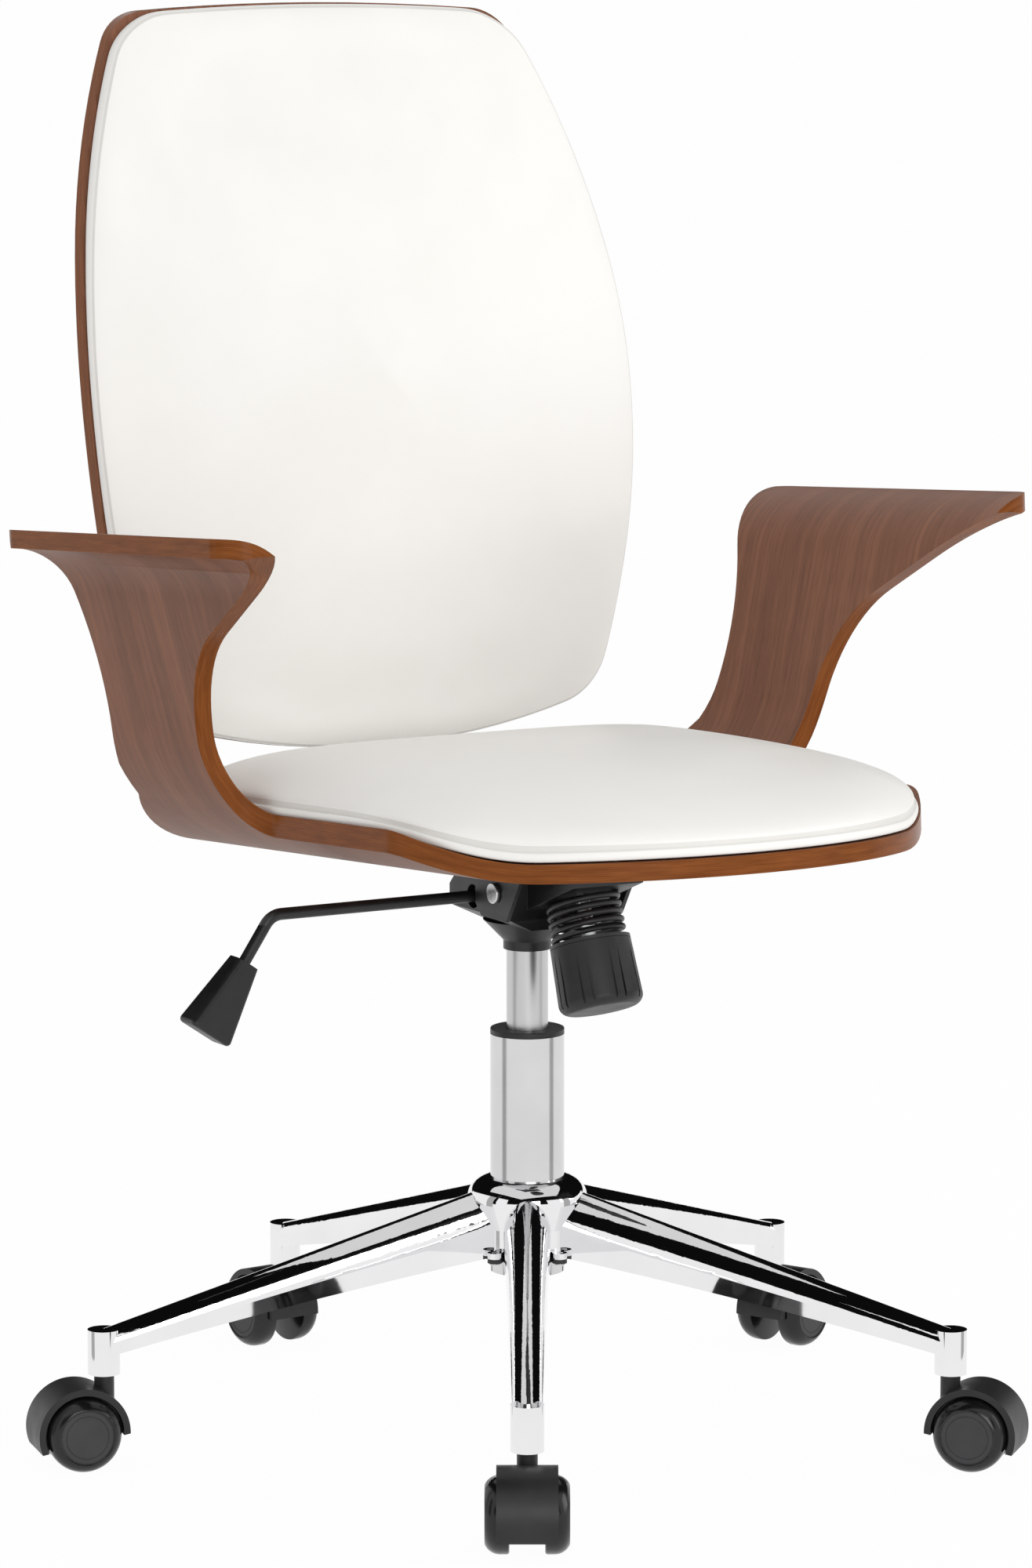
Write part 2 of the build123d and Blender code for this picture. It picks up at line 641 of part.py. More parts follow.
drop = radians(LEVER_DROP_ANGLE)
lever_slope = Vector(-cos(drop), 0, -sin(drop))
lever_corner = Vector(LEVER_BEND_X, 0, LEVER_Z)
with BuildPart() as lever_rod:
    with BuildLine() as lever_path:
        rod_end = lever_corner + lever_slope * (GRIP_START + GRIP_COVER)
        FilletPolyline((LEVER_INNER_X, 0, LEVER_Z), lever_corner, rod_end, radius=LEVER_BEND_R)
    with BuildSketch(Plane(origin=lever_path.line @ 0, z_dir=lever_path.line % 0)):
        Circle(LEVER_ROD_R)
    sweep()
save(lever_rod, "lever_rod")


def grip_plane(distance):
    """Plane square to the lever's sloping end, X across the paddle."""
    across = Vector(sin(drop), 0, -cos(drop))
    return Plane(origin=lever_corner + lever_slope * distance, x_dir=across, z_dir=lever_slope)


with BuildPart() as lever_grip:
    for distance, width, depth in (
        (GRIP_START, GRIP_NECK_W, GRIP_NECK_W),
        (GRIP_START + GRIP_LENGTH, GRIP_END_W, GRIP_END_T),
    ):
        with BuildSketch(grip_plane(distance)):
            RectangleRounded(width, depth, GRIP_CORNER_R)
    loft()
    fillet(lever_grip.faces().sort_by(Axis(grip_plane(0).origin, lever_slope))[-1].edges(), GRIP_EDGE_R)
    post(grip_plane(GRIP_START), LEVER_ROD_R, GRIP_COVER, Mode.SUBTRACT)
save(lever_grip, "lever_grip")

# Tension spring: one round wire, its turns made of biarcs over quarter turns
wire_rise = SPRING_LENGTH - 2 * SPRING_WIRE_R
coil_frame = spring_plane(SPRING_WIRE_R)


def coil_point(turn):
    """Point on the middle of the wire after a number of turns."""
    angle = radians(360 * turn)
    rise = wire_rise * turn / SPRING_TURNS
    return Vector(*coil_frame.from_local_coords((SPRING_R * cos(angle), SPRING_R * sin(angle), rise)))


def coil_tangent(turn):
    """Direction of the wire after a number of turns."""
    angle = radians(360 * turn)
    rise = wire_rise / (SPRING_TURNS * radians(360))
    along = coil_frame.x_dir * (-SPRING_R * sin(angle)) + coil_frame.y_dir * (SPRING_R * cos(angle))
    return (along + coil_frame.z_dir * rise).normalized()


def add_biarc(start, start_dir, end, end_dir):
    """Two tangent arcs from one point and direction to another."""
    chord = end - start
    slack = 2 * (1 - start_dir.dot(end_dir))
    along = chord.dot(start_dir + end_dir)
    reach = (sqrt(along * along + slack * chord.dot(chord)) - along) / slack
    joint = (start + end + (start_dir - end_dir) * reach) * 0.5
    first = TangentArc(start, joint, tangent=start_dir)
    TangentArc(joint, end, tangent=first % 1)


def least_coil_gap(samples=48):
    """Least clear distance between neighbouring turns, measured on points of the wire."""
    count = int(SPRING_TURNS * samples)
    points = [coil_point(k / samples) for k in range(count + 1)]
    near = min(
        (points[i] - points[j]).length
        for i in range(count + 1)
        for j in range(i + samples // 2, count + 1)
    )
    return near - 2 * SPRING_WIRE_R


with BuildPart() as tension_spring:
    with BuildLine() as coil:
        steps = round(4 * SPRING_TURNS)
        stations = [SPRING_TURNS * k / steps for k in range(steps + 1)]
        for here, there in zip(stations, stations[1:]):
            add_biarc(coil_point(here), coil_tangent(here), coil_point(there), coil_tangent(there))
    with BuildSketch(Plane(origin=coil_point(0), z_dir=coil_tangent(0))):
        Circle(SPRING_WIRE_R)
    sweep()
save(tension_spring, "tension_spring")
print("spring self gap", round(least_coil_gap(), 3), "mm")

# Washer under the spring, and the knob that sets its tension
with BuildPart() as spring_washer:
    collar(spring_plane(SPRING_LENGTH), KNOB_TOP_R, BOLT_R, WASHER_T)
save(spring_washer, "spring_washer")

knob_frame = spring_plane(SPRING_LENGTH + WASHER_T + SIDE_GAP)
bolt_depth = KNOB_H - KNOB_EDGE_R - KNOB_FLOOR
with BuildPart() as tension_knob:
    knob_side = Plane(origin=knob_frame.origin, x_dir=(1, 0, 0), z_dir=-knob_frame.y_dir)
    with BuildSketch(knob_side) as knob_half:
        with BuildLine():
            Polyline((0, 0), (KNOB_TOP_R, 0), (KNOB_R, KNOB_H), (0, KNOB_H), close=True)
        make_face()
        fillet(near(knob_half, (KNOB_R, KNOB_H)), KNOB_EDGE_R)
    revolve(axis=Axis(knob_frame.origin, spring_down))
    post(knob_frame, BOLT_R + RUNNING_GAP, bolt_depth, Mode.SUBTRACT)
    with BuildSketch(knob_frame.offset(KNOB_PLAIN_BAND)):
        for turn in (-KNOB_GROOVE_TURN, KNOB_GROOVE_TURN):
            with PolarLocations(KNOB_R, KNOB_GROOVE_PAIRS, start_angle=turn):
                Rectangle(2 * KNOB_GROOVE_DEPTH, KNOB_GROOVE_W)
    extrude(amount=KNOB_H, mode=Mode.SUBTRACT)
save(tension_knob, "tension_knob")

# Seat plate with the cheeks that hang on the pivot
seat_screw_spots = [(sx * SEAT_BOLT_X, sy * SEAT_BOLT_Y) for sx in (-1, 1) for sy in (-1, 1)]


def plate_underside_z(y):
    """Height of the plate's underside above the floor."""
    return SEAT_Z - (SHELL_T + PLATE_T) / cos(tilt) - y * tan(tilt)


with BuildPart() as seat_plate:
    with BuildSketch(under_seat):
        RectangleRounded(2 * PLATE_HALF_W, 2 * PLATE_HALF_L, PLATE_CORNER_R)
        waist_x = PLATE_HALF_W + PLATE_WAIST_R - PLATE_WAIST_DEPTH
        with Locations((waist_x, 0), (-waist_x, 0)):
            Circle(PLATE_WAIST_R, mode=Mode.SUBTRACT)
        with Locations(*seat_screw_spots):
            Circle(SCREW_R, mode=Mode.SUBTRACT)
    extrude(amount=-PLATE_T)
    for side in (-1, 1):
        with BuildSketch(Plane.YZ.offset(side * cheek_inner_x)):
            with BuildLine():
                Polyline(
                    (CHEEK_FRONT_Y, plate_underside_z(CHEEK_FRONT_Y) + PLATE_T / 2),
                    (CHEEK_FRONT_Y, plate_underside_z(CHEEK_FRONT_Y) - CHEEK_LIP),
                    (CHEEK_TOE_Y, CHEEK_BOTTOM_Z),
                    (CHEEK_BACK_Y - CHEEK_CHAMFER, CHEEK_BOTTOM_Z),
                    (CHEEK_BACK_Y, CHEEK_BOTTOM_Z + CHEEK_CHAMFER),
                    (CHEEK_BACK_Y, plate_underside_z(CHEEK_BACK_Y) + PLATE_T / 2),
                    close=True,
                )
            make_face()
            with Locations((PIVOT_Y, PIVOT_Z)):
                Circle(PIVOT_R + RUNNING_GAP, mode=Mode.SUBTRACT)
        extrude(amount=side * CHEEK_T)
save(seat_plate, "seat_plate")

# Tension bolt, welded under the plate and passing through the nose and spring into the knob
plate_rise = plate_underside_z(SPRING_TOP_Y) - SPRING_TOP_Z
plate_gap = plate_rise / (cos(spring_tilt) + sin(spring_tilt) * tan(tilt))
bolt_root = spring_top - spring_down * plate_gap
with BuildPart() as tension_bolt:
    bolt_length = plate_gap + BOLT_R + SPRING_LENGTH + WASHER_T + bolt_depth
    post(spring_plane(-plate_gap - BOLT_R), BOLT_R, bolt_length)
    post(Plane(origin=bolt_root, x_dir=(1, 0, 0), z_dir=-seat_up), BOLT_HEAD_R, BOLT_HEAD_T)
    split(bisect_by=Plane(origin=bolt_root, x_dir=(1, 0, 0), z_dir=-seat_up), keep=Keep.TOP)
save(tension_bolt, "tension_bolt")


# Seat shell: one bent strip, cut to its plan in the seat and to its side outline in the arms
arm_up = radians(90 - ARM_LEAN)
arm_end = radians(ARM_TOP_SLOPE)
arm_out = Vector(sin(arm_up), -cos(arm_up))
arm_along = Vector(cos(arm_up), sin(arm_up))
bend_centre = Vector(FLAT_HALF_W, BEND_R)
flare_centre = bend_centre + arm_out * (BEND_R + FLARE_R) + arm_along * ARM_STRAIGHT
lip_up = Vector(-sin(arm_end), cos(arm_end))
lip_out = Vector(cos(arm_end), sin(arm_end))
arm_tip = flare_centre + lip_up * FLARE_R + lip_out * ARM_LIP
shell_length = SEAT_REAR_Y - SEAT_FRONT_Y


def strip_half(offset):
    """Half of the bent strip's section line, a distance below the sitting face; returns its ends."""
    flat = Line((0, -offset), (FLAT_HALF_W, -offset))
    bend = CenterArc(bend_centre, BEND_R + offset, -90, 90 - ARM_LEAN)
    arm = Line(bend @ 1, flare_centre - arm_out * (FLARE_R - offset))
    flare = CenterArc(flare_centre, FLARE_R - offset, 180 - ARM_LEAN, ARM_TOP_SLOPE + ARM_LEAN - 90)
    lip = Line(flare @ 1, flare_centre + lip_up * (FLARE_R - offset) + lip_out * ARM_LIP)
    return flat @ 0, lip @ 1


def seat_plan():
    """Half of the seat's plan below the arms, from the rear middle to the front middle."""
    front_centre = (0, SEAT_FRONT_Y + SEAT_FRONT_R)
    corner = (SEAT_SIDE_X, front_centre[1] - sqrt(SEAT_FRONT_R**2 - SEAT_SIDE_X**2))
    rear = Line((0, SEAT_REAR_Y), (FLAT_HALF_W, SEAT_REAR_Y))
    root_x = FLAT_HALF_W + sqrt(BEND_R**2 - (BEND_R - ARM_ROOT_Z) ** 2)
    shoulder = TangentArc(rear @ 1, (root_x, ARM_REAR_ROOT_Y), tangent=(1, 0))
    Polyline(
        shoulder @ 1,
        (arm_tip.X, ARM_REAR_ROOT_Y),
        (arm_tip.X, NOTCH_Y),
        (SEAT_SIDE_X, NOTCH_Y),
        corner,
    )
    nose = arc_between(front_centre, corner, (0, SEAT_FRONT_Y))
    Line(nose @ 1, rear @ 0)
    return (SEAT_SIDE_X, NOTCH_Y), corner


def arm_outline():
    """Arm in side view: front edge upright, bowed, then rising straight to the tip; rear edge bowed in."""
    turn = radians(ARM_FRONT_TURN)
    top_z = arm_tip.Y + SHELL_T
    bow_end = (NOTCH_Y - ARM_FRONT_R * (1 - cos(turn)), ARM_ROOT_Z + ARM_FRONT_R * sin(turn))
    tip_y = bow_end[0] - (top_z - bow_end[1]) * tan(turn)
    bow = TangentArc((NOTCH_Y, ARM_ROOT_Z), bow_end, tangent=(0, 1))
    top = Polyline(bow @ 1, (tip_y, top_z), (ARM_REAR_TOP_Y, top_z))
    rear = ThreePointArc(
        top @ 1, (ARM_REAR_WAIST_Y, ARM_REAR_WAIST_Z), (ARM_REAR_ROOT_Y, ARM_ROOT_Z)
    )
    Line(rear @ 1, bow @ 0)


with BuildPart() as arm_form:
    with BuildSketch(seat_side_plane):
        with BuildLine():
            arm_outline()
        make_face()
    extrude(amount=arm_tip.X + SHELL_T, both=True)
    with BuildSketch(seat_plane.offset(ARM_ROOT_Z)):
        with Locations((0, (ARM_FRONT_TIP_Y + ARM_REAR_TOP_Y) / 2)):
            RectangleRounded(2 * arm_tip.X, ARM_REAR_TOP_Y - ARM_FRONT_TIP_Y, ARM_CORNER_R)
    extrude(amount=arm_tip.Y + SHELL_T, mode=Mode.INTERSECT)

with BuildPart() as shell_form:
    with BuildSketch(seat_plane.offset(-2 * SHELL_T)) as plan:
        with BuildLine():
            notch_spot, corner_spot = seat_plan()
        make_face()
        fillet(near(plan, notch_spot), NOTCH_R)
        fillet(near(plan, corner_spot), SEAT_CORNER_R)
        mirror(about=Plane.YZ)
    extrude(amount=ARM_ROOT_Z + 2 * SHELL_T)
    add(arm_form.part)

bracket_screw_ys = [
    SEAT_REAR_Y - BRACKET_LAP + BRACKET_SCREW_EDGE + step * BRACKET_SCREW_STEP for step in (0, 1)
]
shell_screw_spots = seat_screw_spots + [(0, y) for y in bracket_screw_ys]
with BuildPart() as seat_shell:
    with BuildSketch(seat_section(SEAT_REAR_Y)):
        with BuildLine():
            top_start, top_end = strip_half(0)
            low_start, low_end = strip_half(SHELL_T)
            Line(top_start, low_start)
            Line(top_end, low_end)
        make_face()
        mirror(about=Plane.YZ)
    extrude(amount=shell_length)
    add(shell_form.part, mode=Mode.INTERSECT)
    with BuildSketch(seat_plane):
        with Locations(*shell_screw_spots):
            Circle(INSERT_R)
    extrude(amount=-SHELL_T, mode=Mode.SUBTRACT)
save(seat_shell, "seat_shell")


# Screws that hold the seat plate and the back bracket, and the threaded inserts that take them
def screw(plane, sheet, reach):
    """Screw whose head bears on the far side of a sheet, driven towards the plane's Z."""
    post(plane, SCREW_R, sheet + reach)
    post(plane, SCREW_HEAD_R, -SCREW_HEAD_H)


def on_seat(x, y, drop_by):
    """Plane under the seat at a spot, facing up."""
    spot = seat_plane.from_local_coords((x, y, -SHELL_T - drop_by))
    return Plane(origin=spot, x_dir=(1, 0, 0), z_dir=seat_up)


with BuildPart() as seat_screws:
    for x, y in seat_screw_spots:
        screw(on_seat(x, y, PLATE_T), PLATE_T, SCREW_REACH)
save(seat_screws, "seat_screws")

with BuildPart() as bracket_screws:
    for y in bracket_screw_ys:
        screw(on_seat(0, y, BRACKET_T), BRACKET_T, SCREW_REACH)
save(bracket_screws, "bracket_screws")

with BuildPart() as seat_inserts:
    for x, y in shell_screw_spots:
        collar(on_seat(x, y, 0), INSERT_R, SCREW_R, SHELL_T)
save(seat_inserts, "seat_inserts")


# Seat cushion: crowned loft over the seat, cut to its plan and to the shell below
cushion_side = SEAT_SIDE_X - SEAT_CUSHION_INSET
cushion_rear = SEAT_REAR_Y - SEAT_CUSHION_INSET


def cushion_plan():
    """Half of the cushion's plan, from the rear middle to the front middle; returns the front corner."""
    front_centre = (0, SEAT_FRONT_Y + SEAT_FRONT_R)
    front_r = SEAT_FRONT_R - SEAT_CUSHION_INSET
    corner = (cushion_side, front_centre[1] - sqrt(front_r**2 - cushion_side**2))
    shoulder_centre = (cushion_side - SEAT_CUSHION_REAR_R, cushion_rear - SEAT_CUSHION_REAR_R)
    rear = Line((0, cushion_rear), (shoulder_centre[0], cushion_rear))
    shoulder = CenterArc(shoulder_centre, SEAT_CUSHION_REAR_R, 90, -90)
    Line(shoulder @ 1, corner)
    nose = arc_between(front_centre, corner, (0, front_centre[1] - front_r))
    Line(nose @ 1, rear @ 0)
    return corner


with BuildPart() as seat_cushion:
    for y, rim, crown in SEAT_CUSHION_STATIONS:
        with BuildSketch(seat_section(y)):
            with BuildLine():
                low_left = (-cushion_side, -SHELL_T)
                low_right = (cushion_side, -SHELL_T)
                sides = Polyline((-cushion_side, rim), low_left, low_right, (cushion_side, rim))
                ThreePointArc(sides @ 1, (0, crown), sides @ 0)
            make_face()
    loft()
    with BuildSketch(seat_plane.offset(-SHELL_T)) as cushion_outline:
        with BuildLine():
            cushion_corner = cushion_plan()
        make_face()
        fillet(near(cushion_outline, cushion_corner), SEAT_CORNER_R)
        mirror(about=Plane.YZ)
    extrude(amount=SEAT_CROWN + 2 * SHELL_T, mode=Mode.INTERSECT)
    with BuildSketch(seat_section(SEAT_REAR_Y)):
        with BuildLine():
            top_start, top_end = strip_half(-SOFT_GAP)
            low = -3 * SHELL_T
            Polyline(top_end, (top_end.X, low), (0, low), top_start)
        make_face()
        mirror(about=Plane.YZ)
    extrude(amount=shell_length, mode=Mode.SUBTRACT)
save(seat_cushion, "seat_cushion")

# Back shell: ply with one bend in side view, cut to its outline from the front
back_lean = radians(BACK_LEAN)
bend_end_y = BACK_FACE_Y + BACK_BEND_R * (1 - cos(back_lean))
bend_end_z = BACK_BEND_Z + BACK_BEND_R * sin(back_lean)


def back_face_line(depth):
    """Side view of the back ply's front face, or of a face a depth behind it; returns its ends."""
    lean = Vector(sin(back_lean), cos(back_lean))
    behind = Vector(cos(back_lean), -sin(back_lean)) * depth
    rise = (BACK_TOP_Z + BACK_T - bend_end_z) / cos(back_lean)
    low = Line((BACK_FACE_Y + depth, BACK_BOTTOM_Z - BACK_T), (BACK_FACE_Y + depth, BACK_BEND_Z))
    bend_top = Vector(bend_end_y, bend_end_z) + behind
    bend = TangentArc(low @ 1, bend_top, tangent=(0, 1))
    high = Line(bend @ 1, bend_top + lean * rise)
    return low @ 0, high @ 1


def back_face_y(z):
    """Depth of the back ply's front face at a height."""
    if z < BACK_BEND_Z:
        return BACK_FACE_Y
    if z < bend_end_z:
        return BACK_FACE_Y + BACK_BEND_R - sqrt(BACK_BEND_R**2 - (z - BACK_BEND_Z) ** 2)
    return bend_end_y + (z - bend_end_z) * tan(back_lean)


with BuildPart() as back_shell:
    with BuildSketch(Plane.YZ):
        with BuildLine():
            front_low, front_high = back_face_line(0)
            rear_low, rear_high = back_face_line(BACK_T)
            Line(front_low, rear_low)
            Line(front_high, rear_high)
        make_face()
    extrude(amount=2 * BACK_HALF_W, both=True)
    with BuildSketch(Plane.XZ) as back_outline:
        with BuildLine():
            low_centre = (0, BACK_BOTTOM_Z + BACK_BOTTOM_R)
            high_centre = (0, BACK_TOP_Z - BACK_TOP_R)
            lower_side = (BACK_HALF_W - BACK_LOWER_R, BACK_WIDE_Z)
            upper_side = (BACK_HALF_W - BACK_UPPER_R, BACK_WIDE_Z)
            low_corner = circles_meet(low_centre, BACK_BOTTOM_R, lower_side, BACK_LOWER_R, 1)
            high_corner = circles_meet(high_centre, BACK_TOP_R, upper_side, BACK_UPPER_R, -1)
            widest = (BACK_HALF_W, BACK_WIDE_Z)
            sill = arc_between(low_centre, (0, BACK_BOTTOM_Z), low_corner)
            arc_between(lower_side, low_corner, widest)
            arc_between(upper_side, widest, high_corner)
            head = arc_between(high_centre, high_corner, (0, BACK_TOP_Z))
            Line(head @ 1, sill @ 0)
        make_face()
        fillet(near(back_outline, low_corner), BACK_LOW_CORNER_R)
        fillet(near(back_outline, high_corner), BACK_TOP_CORNER_R)
        mirror(about=Plane.YZ)
    extrude(amount=2 * BACK_FACE_Y, both=True, mode=Mode.INTERSECT)
    back_screw_zs = [BACK_SCREW_LOW_Z + step * BACK_SCREW_STEP for step in (0, 1)]
    back_screw_spots = [(side * BACK_SCREW_X, z) for side in (-1, 1) for z in back_screw_zs]
    with BuildSketch(Plane.XZ.offset(-BACK_FACE_Y)):
        with Locations(*back_screw_spots):
            Circle(INSERT_R)
    extrude(amount=-BACK_T, mode=Mode.SUBTRACT)
save(back_shell, "back_shell")

# Bracket bar from the underside of the seat up behind the back
bar_face_y = BACK_FACE_Y + BACK_T
bar_lap_y = SEAT_REAR_Y - BRACKET_LAP
with BuildPart() as back_bracket:
    with BuildSketch(Plane.YZ) as bar_outline:
        with BuildLine():
            lap = seat_plane.from_local_coords((0, bar_lap_y, -SHELL_T))
            lap_under = lap - seat_up * BRACKET_T
            inner = (bar_face_y, lap.Z - (bar_face_y - lap.Y) * tan(tilt))
            outer_y = bar_face_y + BRACKET_T
            outer = (outer_y, lap_under.Z - (outer_y - lap_under.Y) * tan(tilt))
            bar_top = BACK_BEND_Z - BRACKET_DROP
            Polyline(
                (lap.Y, lap.Z),
                inner,
                (bar_face_y, bar_top),
                (outer_y, bar_top),
                outer,
                (lap_under.Y, lap_under.Z),
                close=True,
            )
        make_face()
        fillet(near(bar_outline, inner), BRACKET_BEND_R)
        fillet(near(bar_outline, outer), BRACKET_BEND_R + BRACKET_T)
    extrude(amount=BRACKET_HALF_W, both=True)
    with BuildSketch(under_seat):
        with Locations(*[(0, y) for y in bracket_screw_ys]):
            Circle(SCREW_R)
    extrude(amount=-2 * BRACKET_T, mode=Mode.SUBTRACT)
    with BuildSketch(Plane.XZ.offset(-bar_face_y)):
        with Locations(*back_screw_spots):
            Circle(SCREW_R)
    extrude(amount=-BRACKET_T, mode=Mode.SUBTRACT)
save(back_bracket, "back_bracket")

with BuildPart() as back_screws:
    for x, z in back_screw_spots:
        behind = Plane(origin=(x, bar_face_y + BRACKET_T, z), x_dir=(1, 0, 0), z_dir=(0, -1, 0))
        screw(behind, BRACKET_T, SCREW_REACH)
save(back_screws, "back_screws")

with BuildPart() as back_inserts:
    for x, z in back_screw_spots:
        ply_rear = Plane(origin=(x, bar_face_y, z), x_dir=(1, 0, 0), z_dir=(0, -1, 0))
        collar(ply_rear, INSERT_R, SCREW_R, BACK_T)
save(back_inserts, "back_inserts")


# Back cushion: crowned loft in front of the ply, cut to its outline and to the ply's face
with BuildPart() as back_cushion:
    for share, crown in BACK_CUSHION_STATIONS:
        z = BACK_BOTTOM_Z + share * (BACK_TOP_Z - BACK_BOTTOM_Z)
        face = back_face_y(z)
        rim_y = face - BACK_RIM
        with BuildSketch(Plane.XY.offset(z)):
            with BuildLine():
                rear_right = (BACK_HALF_W, face + BACK_T)
                rear_left = (-BACK_HALF_W, face + BACK_T)
                sides = Polyline((BACK_HALF_W, rim_y), rear_right, rear_left, (-BACK_HALF_W, rim_y))
                ThreePointArc(sides @ 1, (0, rim_y - crown), sides @ 0)
            make_face()
    loft()
    with BuildSketch(Plane.XZ):
        add(back_outline.sketch)
        offset(amount=-BACK_CUSHION_INSET)
    extrude(amount=2 * BACK_FACE_Y, both=True, mode=Mode.INTERSECT)
    with BuildSketch(Plane.YZ):
        with BuildLine():
            front_low, front_high = back_face_line(-SOFT_GAP)
            rear_low, rear_high = back_face_line(5 * BACK_T)
            Line(front_low, rear_low)
            Line(front_high, rear_high)
        make_face()
    extrude(amount=2 * BACK_HALF_W, both=True, mode=Mode.SUBTRACT)
save(back_cushion, "back_cushion")

# Caster stems, held in the leg sockets
with BuildPart() as caster_stems:
    for heading in leg_headings:
        post(heading_plane(heading, SOCKET_CIRCLE_R, STEM_BOTTOM_Z), STEM_R, stem_top_z - STEM_BOTTOM_Z)
save(caster_stems, "caster_stems")

# Casters: swivelling hood with its axle, and two wheels
wheel_inner = WHEEL_GAP / 2
wheel_outer = wheel_inner + WHEEL_W
axle_half = wheel_outer - AXLE_END_COVER
web_half = wheel_inner - SIDE_GAP
neck_top_z = SOCKET_BOTTOM_Z - SIDE_GAP


def hood_cut():
    """What the hood leaves open below, in side view."""
    Polyline(
        (-HOOD_OUTER_R, -HOOD_INNER_SKIRT),
        (HOOD_OUTER_R, -HOOD_OUTER_SKIRT),
        (HOOD_OUTER_R, -2 * HOOD_OUTER_R),
        (-HOOD_OUTER_R, -2 * HOOD_OUTER_R),
        close=True,
    )


for number, heading in enumerate(leg_headings, start=1):
    out = heading_plane(heading).x_dir
    axle_dir = -heading_plane(heading).y_dir
    hub = out * (SOCKET_CIRCLE_R + CASTER_TRAIL) + Vector(0, 0, WHEEL_R)
    side_view = Plane(origin=hub, x_dir=out, z_dir=axle_dir)
    stem_foot = heading_plane(heading, SOCKET_CIRCLE_R, STEM_BOTTOM_Z - SIDE_GAP)

    with BuildPart() as hood:
        with BuildSketch(side_view):
            Circle(HOOD_OUTER_R)
            Circle(HOOD_INNER_R, mode=Mode.SUBTRACT)
            with BuildLine():
                hood_cut()
            make_face(mode=Mode.SUBTRACT)
        extrude(amount=HOOD_W / 2, both=True)
        with BuildSketch(side_view):
            Circle((HOOD_INNER_R + HOOD_OUTER_R) / 2)
            with BuildLine():
                hood_cut()
            make_face(mode=Mode.SUBTRACT)
            Circle(AXLE_BOSS_R)
        extrude(amount=web_half, both=True)
        post(stem_foot, NECK_R, neck_top_z - STEM_BOTTOM_Z + SIDE_GAP)
        post(stem_foot, STEM_R + RUNNING_GAP, neck_top_z - STEM_BOTTOM_Z + SIDE_GAP, Mode.SUBTRACT)
        with BuildSketch(side_view):
            Circle(AXLE_R)
        extrude(amount=HOOD_W, both=True, mode=Mode.SUBTRACT)
    save(hood, f"caster_{number}_hood")

    with BuildPart() as axle:
        with BuildSketch(side_view):
            Circle(AXLE_R)
        extrude(amount=axle_half - SIDE_GAP, both=True)
    save(axle, f"caster_{number}_axle")

    for name, turn in (("left", 1), ("right", -1)):
        across = axle_dir * turn
        with BuildPart() as wheel:
            half_plane = Plane(origin=hub, x_dir=(0, 0, 1), z_dir=Vector(0, 0, 1).cross(across))
            with BuildSketch(half_plane) as half:
                with BuildLine():
                    tread = Polyline(
                        (AXLE_R + RUNNING_GAP, wheel_inner),
                        (WHEEL_R, wheel_inner),
                        (WHEEL_R, wheel_inner + WHEEL_TREAD_W),
                    )
                    bevel = TangentArc(tread @ 1, (WHEEL_DISC_R, wheel_outer), tangent=(0, 1))
                    Polyline(
                        bevel @ 1,
                        (WHEEL_DISC_R, wheel_outer - WHEEL_DISC_DEPTH),
                        (0, wheel_outer - WHEEL_DISC_DEPTH),
                        (0, axle_half),
                        (AXLE_R + RUNNING_GAP, axle_half),
                        tread @ 0,
                    )
                make_face()
                fillet(near(half, (WHEEL_R, wheel_inner)), WHEEL_INNER_EDGE_R)
            revolve(axis=Axis(hub, across))
        save(wheel, f"caster_{number}_wheel_{name}")
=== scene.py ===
"""Looks of the swivel desk chair: veneer, sewn cushions, chrome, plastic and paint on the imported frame."""
import json
import math

import bmesh
import bpy
import numpy as np
from mathutils import Matrix, Vector

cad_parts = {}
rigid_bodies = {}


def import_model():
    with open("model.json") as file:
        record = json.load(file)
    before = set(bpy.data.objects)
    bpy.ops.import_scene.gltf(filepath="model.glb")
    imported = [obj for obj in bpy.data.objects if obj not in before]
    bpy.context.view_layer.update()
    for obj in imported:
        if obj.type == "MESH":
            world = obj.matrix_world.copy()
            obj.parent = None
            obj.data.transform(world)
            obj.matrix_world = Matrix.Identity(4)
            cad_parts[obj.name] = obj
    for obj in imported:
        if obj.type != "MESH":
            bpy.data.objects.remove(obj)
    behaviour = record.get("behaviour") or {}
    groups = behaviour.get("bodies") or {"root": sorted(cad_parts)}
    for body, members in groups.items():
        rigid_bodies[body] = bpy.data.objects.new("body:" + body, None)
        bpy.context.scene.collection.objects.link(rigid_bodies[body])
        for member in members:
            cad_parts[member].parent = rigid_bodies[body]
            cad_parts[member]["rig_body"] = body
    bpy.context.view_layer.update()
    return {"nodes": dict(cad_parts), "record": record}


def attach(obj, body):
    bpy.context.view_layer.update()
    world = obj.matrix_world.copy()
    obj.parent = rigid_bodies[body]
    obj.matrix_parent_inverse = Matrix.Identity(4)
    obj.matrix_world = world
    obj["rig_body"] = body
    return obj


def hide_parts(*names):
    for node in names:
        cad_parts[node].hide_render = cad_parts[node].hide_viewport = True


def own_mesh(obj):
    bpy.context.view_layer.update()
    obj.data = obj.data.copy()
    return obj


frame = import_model()
nodes = frame["nodes"]

# Sizes of the chair that the looks follow, in metres and degrees
SEAT_Z = 0.4167
SEAT_TILT = math.radians(4.0)
SHELL_T = 0.0122
FLAT_HALF_W = 0.1353
BEND_R = 0.099
ARM_LEAN = math.radians(13.4)
ARM_STRAIGHT = 0.0972
FLARE_R = 0.0512
PLY_LAYERS = 9
PLY_EDGE_R = 0.0009
FACE_TURN = math.radians(35)
FACE_STEP = 0.0002

